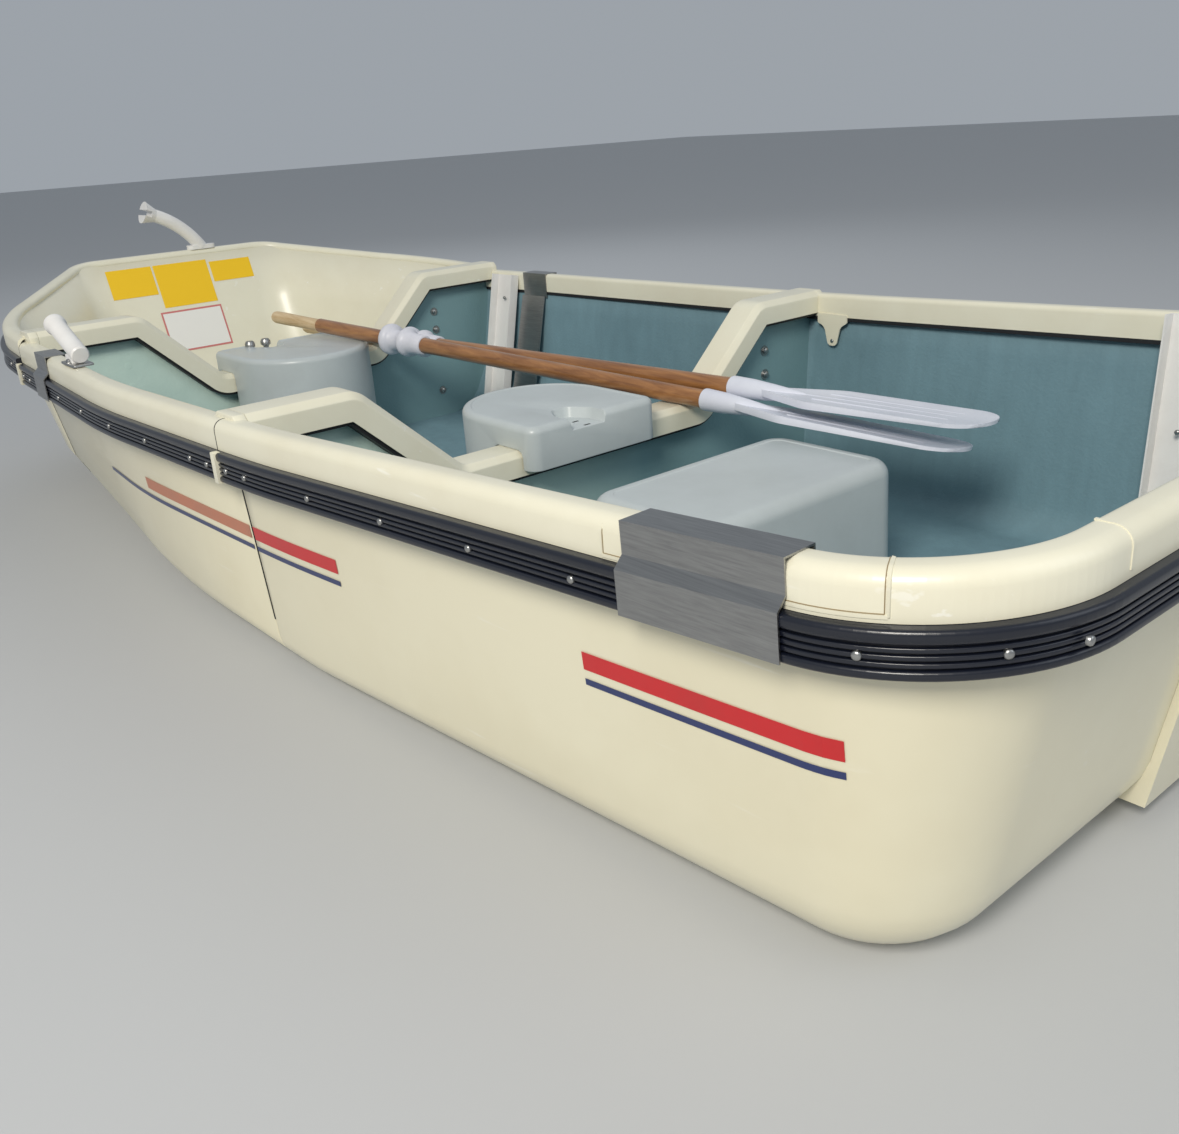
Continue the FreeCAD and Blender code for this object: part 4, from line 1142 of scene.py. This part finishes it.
# cap: joint, height at the sides, half widths of the low stretch at its foot and head
CAPS = {"rear": (REAR_JOINT, 0.416, 0.282, 0.464), "front": (FRONT_JOINT, 0.421, 0.211, 0.387)}
for name, (joint, top, foot, head) in CAPS.items():
    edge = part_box(name + "_joint_cap")[1].y - 0.001
    half = [(edge, top, 0), (head, top, 0.050), (foot, THRESHOLD, 0.022)]
    line = half + [(-a, b, r) for a, b, r in reversed(half)]
    path = [Vector((joint, p.x, p.y)) for p in round_path(line, 7)]
    bm = bmesh.new()
    sweep(bm, CAP_SECTION, path, side=(1, 0, 0))
    for start, stop in ((edge + CAP_LIP, edge + 0.0001), (-edge - 0.0001, -edge - CAP_LIP)):
        ends = [Vector((joint, start, top)), Vector((joint, stop, top))]
        sweep(bm, CAP_END, ends, side=(1, 0, 0), soft=0.0012)
    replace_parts(piece(name + "_cap", bm, rim_gelcoat, sharp=60), name + "_joint_cap")
    # the dark strip under the skirts is painted shadow
    bm = bmesh.new()
    sweep(bm, SKIRT_SHADOW_SECTION, path, side=(1, 0, 0))
    piece(name + "_skirt_shadow", bm, seam_and_shadow_black)

# %% End walls
def finish_node(name, material_used):
    """A given part that is kept gets a finish on its object's own material slot."""
    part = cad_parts[name]
    for material_slot in part.material_slots:
        material_slot.link = "OBJECT"
        material_slot.material = material_used


# the end walls' paint: painted sunlight to port, painted shade to starboard
for name in ("stern_front_bulkhead", "middle_rear_bulkhead", "middle_front_bulkhead", "bow_rear_bulkhead"):
    finish_node(name, panel_paint)

# %% Bolts through the end walls
BOLT = ((0.0, 0.0080), (0.0040, 0.0076), (0.0064, 0.0060), (0.0070, 0.0030), (0.0070, 0.0018),
        (0.0110, 0.0018), (0.0114, 0.0012), (0.0114, 0.0), (0.0, 0.0))
# two holes high on the front wall's after face carry no bolt head, and a painted plug closes each
PLUG = ((0.0, 0.0006), (0.0078, 0.0005), (0.0082, 0.0), (0.0, 0.0))
BOLT_HEIGHTS = (0.080, 0.256, 0.307)
BOLT_OUT = {"rear": 0.511, "front": 0.431}
WALL_FACE = 0.0065    # from a joint to an end wall's face
plugs = bmesh.new()
for name, out in BOLT_OUT.items():
    joint = CAPS[name][0]
    bm = bmesh.new()
    for z in BOLT_HEIGHTS:
        for y in (out, -out):
            for way in (1, -1):
                place = Vector((joint + way * WALL_FACE, y, z))
                if name == "front" and way < 0 < y and z > BOLT_HEIGHTS[0]:
                    add_spun(plugs, PLUG, place, Vector((way, 0, 0)), 20)
                else:
                    add_spun(bm, BOLT, place, Vector((way, 0, 0)), 24)
    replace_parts(piece(name + "_bolts", bm, stainless), name + "_joint_bolts")
piece("front_wall_plugs", plugs, panel_paint)

# %% [markdown]
# ## The seats
#
# Each small seat is a plastic shell that drops over a joint cap: straight on one side, round on the
# other, with a scoop on its top. Its round side has a deep skirt that stands just clear of the floor,
# so the seat cannot tip. The outline is extruded to its full depth and its top rim is bevelled. What
# is not there is taken away by Boolean cutters: the notch over the cap, the room under the straight
# side, the inside of the skirt and the scoop. They are used because each of them crosses several
# faces. The cutters are removed once their work is applied, and a small bevel softens the cut edges.

# %% Blocks
def block(name, corners, low, high, edge, segments=5, flare=0.0, crease=0.0):
    """An outline extruded upwards, a little wider at its foot, with a rounded top rim."""
    bm = bmesh.new()
    ring = [bm.verts.new((p.x, p.y, low)) for p in round_path(corners, 10, True)]
    lid = extruded(bm, bm.faces.new(ring))
    bmesh.ops.translate(bm, vec=(0, 0, high - low), verts=lid.verts)
    if flare:
        middle = lid.calc_center_median()
        bmesh.ops.scale(bm, vec=(1 - flare, 1 - flare, 1), space=Matrix.Translation(-middle), verts=lid.verts)
    soften(bm, list(lid.edges), edge, segments)
    bmesh.ops.recalc_face_normals(bm, faces=bm.faces)
    if crease:
        lid = max((f for f in bm.faces if f.normal.z > 0.9), key=lambda f: f.calc_area())
        bmesh.ops.inset_region(bm, faces=[lid], thickness=crease)
        bmesh.ops.inset_region(bm, faces=[lid], thickness=0.002, depth=-0.0014)
    return linked(name, bm)


# %% Carving
def applied(target):
    """Turn an object's modifiers into its mesh."""
    result = bpy.data.meshes.new_from_object(target.evaluated_get(bpy.context.evaluated_depsgraph_get()))
    target.modifiers.clear()
    target.data = result


def carve(target, cutters, soft=0.0018):
    """Take Boolean cutters away from an object, remove them, and soften the edges they leave."""
    for cutter in cutters:
        taken = target.modifiers.new("carve", "BOOLEAN")
        taken.object = cutter
        taken.operation = "DIFFERENCE"
        taken.solver = "EXACT"
        applied(target)
        bpy.data.objects.remove(cutter)
    bevel = target.modifiers.new("soften", "BEVEL")
    bevel.width = soft
    bevel.segments = 3
    bevel.limit_method = "ANGLE"
    bevel.angle_limit = math.radians(40)
    applied(target)


# %% Seats over the caps
SEAT_TOP, SEAT_BOTTOM = 0.293, 0.213
SEAT_FLAT, SEAT_SPRING, SEAT_WALL = 0.074, 0.095, 0.005    # joint to the straight side and to the round's start
CAP_CLEAR = 0.003          # beside a cap, inside the notch
FAR = 0.3                  # past every side of a seat
SCOOP_DEPTH = 0.021
SCOOP = ((-0.03, -0.056, 0), (0.052, -0.056, 0.035), (0.098, -0.024, 0.024), (0.098, 0.024, 0.024),
         (0.052, 0.056, 0.035), (-0.03, 0.056, 0))
SCOOP_DRAFT = (0.84, 0.66)    # size of the scoop's floor against its mouth


def small_seat(name, joint, way, body, replaced, scoop_side):
    """way 1: straight side aft, round side forward; -1: the other way round."""
    low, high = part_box(replaced)
    half = (high.y - low.y) / 2
    middle = (high.y + low.y) / 2
    below = low.z - 0.02

    def plan(back, half_width, corner=0.0):
        """The seat's outline: two corners at its straight side and a half round opposite."""
        arc = [(SEAT_SPRING + half_width * math.cos(a), half_width * math.sin(a), 0)
               for a in [math.radians(v) for v in range(-90, 91, 6)]]
        return [(joint + way * a, middle + way * b, r)
                for a, b, r in [(back, half_width, corner), (back, -half_width, corner)] + arc]

    def across(back, front):
        """A strip right across the seat."""
        return [(joint + way * a, middle + way * b, 0)
                for a, b in ((back, -FAR), (front, -FAR), (front, FAR), (back, FAR))]

    seat = block(name, plan(-SEAT_FLAT, half, 0.024), low.z, SEAT_TOP, 0.013, crease=0.004)
    notch_half = CAP_HALF + CAP_CLEAR
    notch = block("notch", across(-notch_half, notch_half), below, THRESHOLD + 0.0003, 0.0115, 2)
    under = block("under", across(-FAR, -0.02), below, SEAT_BOTTOM, 0.0001, 1)
    inside = block("inside", plan(0.02, half - SEAT_WALL), below, SEAT_BOTTOM, 0.004, 2)
    scoop_x = joint - way * SEAT_FLAT
    scoop_y = middle + scoop_side
    scoop = block("scoop", [(scoop_x + way * a, scoop_y + way * b, r) for a, b, r in SCOOP],
                  SEAT_TOP - SCOOP_DEPTH, SEAT_TOP + 0.05, 0.0001, 1)
    # the scoop is narrower at its floor, so the cutter's foot is drawn in
    for vert in scoop.data.vertices:
        if vert.co.z < SEAT_TOP:
            vert.co.x = scoop_x + (vert.co.x - scoop_x) * SCOOP_DRAFT[0]
            vert.co.y = scoop_y + (vert.co.y - scoop_y) * SCOOP_DRAFT[1]
    carve(seat, [notch, under, inside, scoop])
    dress(seat, name, seat_plastic, body)
    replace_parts(seat, replaced)
    # two near-black boxes on the scoop's floor are painted shade standing for the slots' openings
    bm = bmesh.new()
    for a in (0.010, 0.044):
        made = bmesh.ops.create_cube(bm, size=1.0)["verts"]
        bmesh.ops.scale(bm, vec=(0.004, 0.013, 0.0012), verts=made)
        floor = (scoop_x + way * a, scoop_y - 0.004, SEAT_TOP - SCOOP_DEPTH)
        bmesh.ops.translate(bm, vec=floor, verts=made)
    piece(name + "_slots", bm, painted_slot_shade, body)
    return scoop_y


small_seat("rear_small_seat", REAR_JOINT, 1, "rear_seat", "rear_seat", 0.019)
front_scoop = small_seat("front_small_seat", FRONT_JOINT, -1, "boat", "front_seat", 0.030)

KNOB = ((0.0, 0.034), (0.009, 0.033), (0.013, 0.027), (0.013, 0.019), (0.007, 0.014), (0.007, 0.0), (0.0, 0.0))
bm = bmesh.new()
for y in (0.043, 0.0):
    place = Vector((FRONT_JOINT + 0.052, front_scoop + y, SEAT_TOP - SCOOP_DEPTH))
    add_spun(bm, KNOB, place, UP, 20)
piece("front_seat_knobs", bm, stainless)

# %% The stern seat
box_low, box_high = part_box("stern_seat")
corners = [(box_low.x, box_low.y, 0.050), (box_low.x, box_high.y, 0.050),
           (box_high.x, box_high.y, 0.050), (box_high.x, box_low.y, 0.050)]
stern_seat = block("stern_box_seat", corners, box_low.z, box_high.z, 0.024, 6, flare=0.02, crease=0.006)
dress(stern_seat, "stern_box_seat", seat_plastic, "boat")
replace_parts(stern_seat, "stern_seat")

# %% [markdown]
# ## The oars
#
# A varnished wooden loom with a bare grip, a milky plastic collar that stops it in the rowlock, and a
# plastic blade on a socket. Loom and collar are turned, so a profile is spun about the oar's own
# line, which is read from the given shaft. The blade is a flat paddle with a raised rib and
# rounded edges; it tapers out of its socket. All six pieces ride on the body that carries the oars.

# %% Turned pieces of the oars
def axis_of(name):
    """Ends of a given shaft: the mean points of its two end rings."""
    coordinates = [v.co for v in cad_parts[name].data.vertices]
    low, high = min(c.x for c in coordinates), max(c.x for c in coordinates)
    ends = []
    for limit, sense in ((high, 1), (low, -1)):
        near = [c for c in coordinates if (limit - c.x) * sense < 0.006]
        ends.append(sum(near, Vector()) / len(near))
    return ends


GRIP_LENGTH = 0.2160
COLLAR_AT = 0.515      # from the grip's end to the collar
COLLAR = ((0.0189, 0.0), (0.0330, 0.0), (0.0375, 0.003), (0.0388, 0.010), (0.0370, 0.018), (0.0320, 0.022),
          (0.0252, 0.026), (0.0240, 0.044), (0.0252, 0.060), (0.0310, 0.064), (0.0345, 0.070),
          (0.0345, 0.078), (0.0310, 0.083), (0.0262, 0.088), (0.0250, 0.110), (0.0235, 0.138),
          (0.0215, 0.1395), (0.0189, 0.1395), (0.0189, 0.0))
GRIP = ((0.0, 0.0), (0.0105, 0.0), (0.0150, 0.003), (0.0166, 0.010), (0.0168, 0.060), (0.0160, 0.140),
        (0.0158, 0.210), (0.0158, GRIP_LENGTH), (0.0, GRIP_LENGTH))
SOCKET = ((0.0188, 0.0), (0.0215, 0.0), (0.0222, 0.003), (0.0205, 0.050), (0.0150, 0.110), (0.0085, 0.165),
          (0.0, 0.200))

# %% A blade along +X from its socket's open end
BLADE_LENGTH, BLADE_HALF, BLADE_THICK = 0.522, 0.0715, 0.0135
BLADE_SHOULDER = 0.215      # where the blade reaches its full width
BLADE_SUNK = 0.0016         # each face lies this deep inside its border
# raised ribs: across the blade, middle, length
BLADE_RIBS = ((-0.030, 0.345, 0.270), (0.0, 0.315, 0.330), (0.030, 0.345, 0.270))
THINNING = 0.55             # share of its thickness that the blade loses towards its end


def blade_outline():
    """Corners of the blade, with arcs a little tighter than its drawing's."""
    half = [(0.075, 0.014, 0.02), (BLADE_SHOULDER, BLADE_HALF, 0.09), (BLADE_LENGTH, BLADE_HALF, 0.060)]
    end = [(BLADE_LENGTH + 0.030, 0.0, 0.10)]
    corners = [(a, -b, r) for a, b, r in half] + end + half[::-1]
    return round_path([(a, b, r * 0.95) for a, b, r in corners], 7, True)


def blade():
    """A flat paddle with a border and ribs on both faces, on a tapered socket."""
    bm = bmesh.new()
    add_spun(bm, SOCKET, Vector((0, 0, 0)), Vector((1, 0, 0)), 28)
    base = bm.faces.new([bm.verts.new((p.x, p.y, -BLADE_THICK / 2)) for p in blade_outline()])
    lid = extruded(bm, base)
    bmesh.ops.translate(bm, vec=(0, 0, BLADE_THICK), verts=lid.verts)
    for face, sunk in ((base, BLADE_SUNK), (lid, -BLADE_SUNK)):
        bmesh.ops.inset_region(bm, faces=[face], thickness=0.007, depth=0.0)
        bmesh.ops.translate(bm, vec=(0, 0, sunk), verts=face.verts)
    rims = [e for e in bm.edges if e.is_manifold and e.calc_face_angle(0) > 1.2 and e.verts[0].co.x > 0.08]
    soften(bm, rims, 0.003, 2)
    for y, middle, length in BLADE_RIBS:
        for top in (1, -1):
            rib = bmesh.ops.create_cone(bm, cap_ends=True, segments=10, radius1=0.0058, radius2=0.0050,
                                        depth=length)["verts"]
            bmesh.ops.rotate(bm, matrix=Matrix.Rotation(math.pi / 2, 3, "Y"), verts=rib)
            bmesh.ops.translate(bm, vec=(middle, y, top * 0.0012), verts=rib)
    for vert in bm.verts:
        vert.co.z *= 1.0 - THINNING * max(0.0, min(1.0, (vert.co.x - 0.22) / 0.30))
    return bm


# %% Both oars
LOOM_START = 0.2155         # the loom begins just inside the grip's end
SOCKET_LAP = 0.030          # length of loom inside the blade's socket
BLADE_ROLL = {"port": -10.0, "starboard": -4.0}
for side, roll in BLADE_ROLL.items():
    tip, root = axis_of(side + "_oar_shaft")
    along = (root - tip).normalized()
    length = (root - tip).length
    loom = ((0.0, LOOM_START), (0.0160, LOOM_START), (0.0184, LOOM_START + 0.002), (0.0184, length),
            (0.0, length))
    made = spun(side + "_loom", loom, tip, along, oar_wood, "oars", 28)
    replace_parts(made, side + "_oar_shaft")
    spun(side + "_grip", GRIP, tip, along, bare_wood, "oars", 28)
    made = spun(side + "_stop", COLLAR, tip + along * COLLAR_AT, along, collar_plastic, "oars",
                32, 60)
    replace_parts(made, side + "_oar_collar")
    across = UP.cross(along).normalized()
    onto_oar = Matrix((along, across, along.cross(across))).transposed().to_4x4()
    at = Matrix.Translation(root - along * SOCKET_LAP) @ onto_oar
    bm = blade()
    bmesh.ops.transform(bm, matrix=at @ Matrix.Rotation(math.radians(roll), 4, "X"), verts=bm.verts)
    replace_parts(piece(side + "_paddle", bm, blade_plastic, "oars", 40), side + "_oar_blade")
    print(side, "oar", round(length, 3), "m of loom")

# %% [markdown]
# ## Fittings and posts
#
# The saddles, straps and the starboard posts are bent sheet and channel, and the bow handle is a bent
# moulding. Their given shapes are right, so they are kept, with a brushed finish on the steel and a
# fine bevel that lets every folded edge catch light. Two fittings on the port side are made anew. The
# stern post is swept from its channel section, because it ends below the gunwale. The rod holder is
# an open tube with a collar, so its profile is spun; it leans forward over a cradle and a plate.

# %% Kept fittings
def fine_edges(name, width):
    """A small bevel on a kept part's folded edges."""
    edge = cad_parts[name].modifiers.new("fine_edge", "BEVEL")
    edge.width = width
    edge.segments = 2
    edge.limit_method = "ANGLE"
    edge.angle_limit = math.radians(30)


SADDLES = ("port_stern_saddle", "starboard_stern_saddle", "port_front_saddle", "starboard_front_saddle",
           "front_saddle_straps")
for names, finish, width in (
        (SADDLES, sheet_steel, 0.0006),
        (("starboard_stern_post", "starboard_front_post"), white_plastic, 0.0008),
        (("transom_pad",), hull_gelcoat, 0.003),
        (("bow_handle",), white_plastic, 0.002)):
    for name in names:
        finish_node(name, finish)
        fine_edges(name, width)
    print(finish.name, "on", ", ".join(names))

# %% Port stern post
POST_HALF, POST_DEPTH, POST_WALL = 0.044, 0.026, 0.003
POST_SECTION = [(-POST_HALF, 0.0), (POST_HALF, 0.0), (POST_HALF, -POST_DEPTH),
                (POST_HALF - POST_WALL, -POST_DEPTH), (POST_HALF - POST_WALL, -POST_WALL),
                (POST_WALL - POST_HALF, -POST_WALL), (POST_WALL - POST_HALF, -POST_DEPTH),
                (-POST_HALF, -POST_DEPTH)]
POST_FOOT, POST_HEAD = Vector((-1.193, 0.5815, 0.0455)), Vector((-1.193, 0.6035, 0.398))
bm = bmesh.new()
sweep(bm, POST_SECTION, [POST_FOOT, POST_HEAD], side=(1, 0, 0))
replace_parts(piece("port_stern_channel", bm, white_plastic), "port_stern_post")

# %% Rod holder
TUBE = ((0.0, 0.0), (0.0150, 0.0), (0.0178, 0.003), (0.0178, 0.136), (0.0212, 0.141), (0.0212, 0.153),
        (0.0195, 0.155), (0.0165, 0.152), (0.0150, 0.143), (0.0150, 0.012), (0.0, 0.012))
TUBE_FOOT = (0.372, 0.655)
TUBE_WAY = Vector((0.150, -0.004, 0.050))
# corners: along, across, radius
CRADLE = ((0.436, 0.643, 0.003), (0.436, 0.667, 0.003), (0.396, 0.667, 0.003), (0.396, 0.643, 0.003))
PLATE_AFT, PLATE_FORE, PLATE_THICK = 0.364, 0.449, 0.004

low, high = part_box("port_front_post")
holder = spun("rod_holder_tube", TUBE, Vector((*TUBE_FOOT, low.z + 0.0205)), TUBE_WAY, white_plastic,
              steps=48)
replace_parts(holder, "port_front_post")
cradle = block("rod_holder_cradle", CRADLE, low.z + 0.003, low.z + 0.019, 0.002, 2)
dress(cradle, "rod_holder_cradle", white_plastic, "boat")
plate_outline = [(PLATE_FORE, low.y + 0.002, 0.004), (PLATE_FORE, high.y - 0.004, 0.004),
                 (PLATE_AFT, high.y - 0.003, 0.006), (PLATE_AFT, low.y + 0.005, 0.006)]
plate = block("rod_holder_plate", plate_outline, low.z, low.z + PLATE_THICK, 0.001, 2)
dress(plate, "rod_holder_plate", stainless, "boat")

# %% Bolt and screws
POST_SCREWS = ((-1.193, -0.5812, 0.330), (-1.193, -0.5765, 0.250), (0.718, -0.5985, 0.330))
bm = bmesh.new()
add_spun(bm, BOLT, Vector((0.412, high.y - 0.011, low.z + PLATE_THICK)), UP, 24)
for place in POST_SCREWS:
    add_spun(bm, SCREW, Vector(place), Vector((0, 1, 0)))
piece("post_screws", bm, stainless)

# %% [markdown]
# ## Stripes and labels
#
# Two stripes run along each side in two groups, a broad red one over a narrow navy one. They are thin
# films that follow the skin at a constant depth under the sheer. The labels in the bow are blank
# plates on the sloped liner.

# %% Stripes
FILM_STEP = 0.010        # no strip is divided more coarsely than this
FILM_THICK = 0.0010
RED, NAVY = (0.172, 0.194), (0.205, 0.213)    # upper and lower edges below the sheer
STERN_GROUP = (-1.435, -1.105)
BEFORE_JOINT = (-0.600, REAR_JOINT - 0.006)
AFTER_JOINT = REAR_JOINT + 0.006


def film(name, runs, drops, material_used):
    """Strips on the outer skin of both sides between pairs of stations, at two drops."""
    bm = bmesh.new()
    for low, high in runs:
        steps = max(6, int((high - low) / FILM_STEP))
        for mirror in (1, -1):
            rows = []
            for k in range(steps + 1):
                x = low + (high - low) * k / steps
                row = []
                for drop in drops:
                    z = sheer(x, part_at(x)) - drop
                    point, out = skin_at(x, z)
                    point = point + out * FILM_THICK
                    row.append(bm.verts.new((point.x, point.y * mirror, z)))
                rows.append(row)
            edges = [bm.edges.new((a[k], b[k])) for k in (0, 1) for a, b in zip(rows, rows[1:])]
            bmesh.ops.bridge_loops(bm, edges=edges)
    for face in bm.faces:
        face.normal_update()
        if face.normal.y * face.calc_center_median().y < 0:
            face.normal_flip()
    made = linked(name, bm)
    made.data.materials.append(material_used)
    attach(made, "boat")
    print(name, len(made.data.polygons), "faces")


film("red_stripes", [STERN_GROUP, BEFORE_JOINT], RED, stripe_red)
film("faded_stripes", [(AFTER_JOINT, 0.110)], RED, faded_red)
film("navy_stripes", [STERN_GROUP, BEFORE_JOINT, (AFTER_JOINT, 0.380)], NAVY, stripe_navy)

# %% Labels
def liner_x(y, z):
    """Where the liner's inner face stands in front of a point."""
    best = None
    line = [on_skin(i, z) - outward(i) * LINER_IN for i in range(len(LOFT[0]))]
    for a, b in zip(line, line[1:]):
        if min(a.y, b.y) <= abs(y) <= max(a.y, b.y) and a.y != b.y and a.x > FRONT_JOINT:
            best = a.lerp(b, (abs(y) - a.y) / (b.y - a.y)).x
    return best


def label(name, sides, heights, material_used, off=0.0008):
    """A blank plate on the liner, from its port and starboard sides and its top and bottom."""
    (port, starboard), (top, bottom) = sides, heights
    corners = ((port, top), (starboard, top), (starboard, bottom), (port, bottom))
    bm = bmesh.new()
    bm.faces.new([bm.verts.new((liner_x(y, z) - off, y, z)) for y, z in corners])
    bmesh.ops.subdivide_edges(bm, edges=bm.edges[:], cuts=5, use_grid_fill=True)
    for vert in bm.verts:
        vert.co.x = liner_x(vert.co.y, vert.co.z) - off
    piece(name, bm, material_used)


label("left_label", (0.225, 0.093), (0.462, 0.382), label_yellow)
label("middle_label", (0.087, -0.076), (0.462, 0.341), label_yellow)
label("right_label", (-0.084, -0.213), (0.454, 0.396), label_yellow)
label("notice_border", (0.106, -0.081), (0.330, 0.214), label_pink)
label("notice_plate", (0.101, -0.076), (0.325, 0.219), label_white, 0.0012)
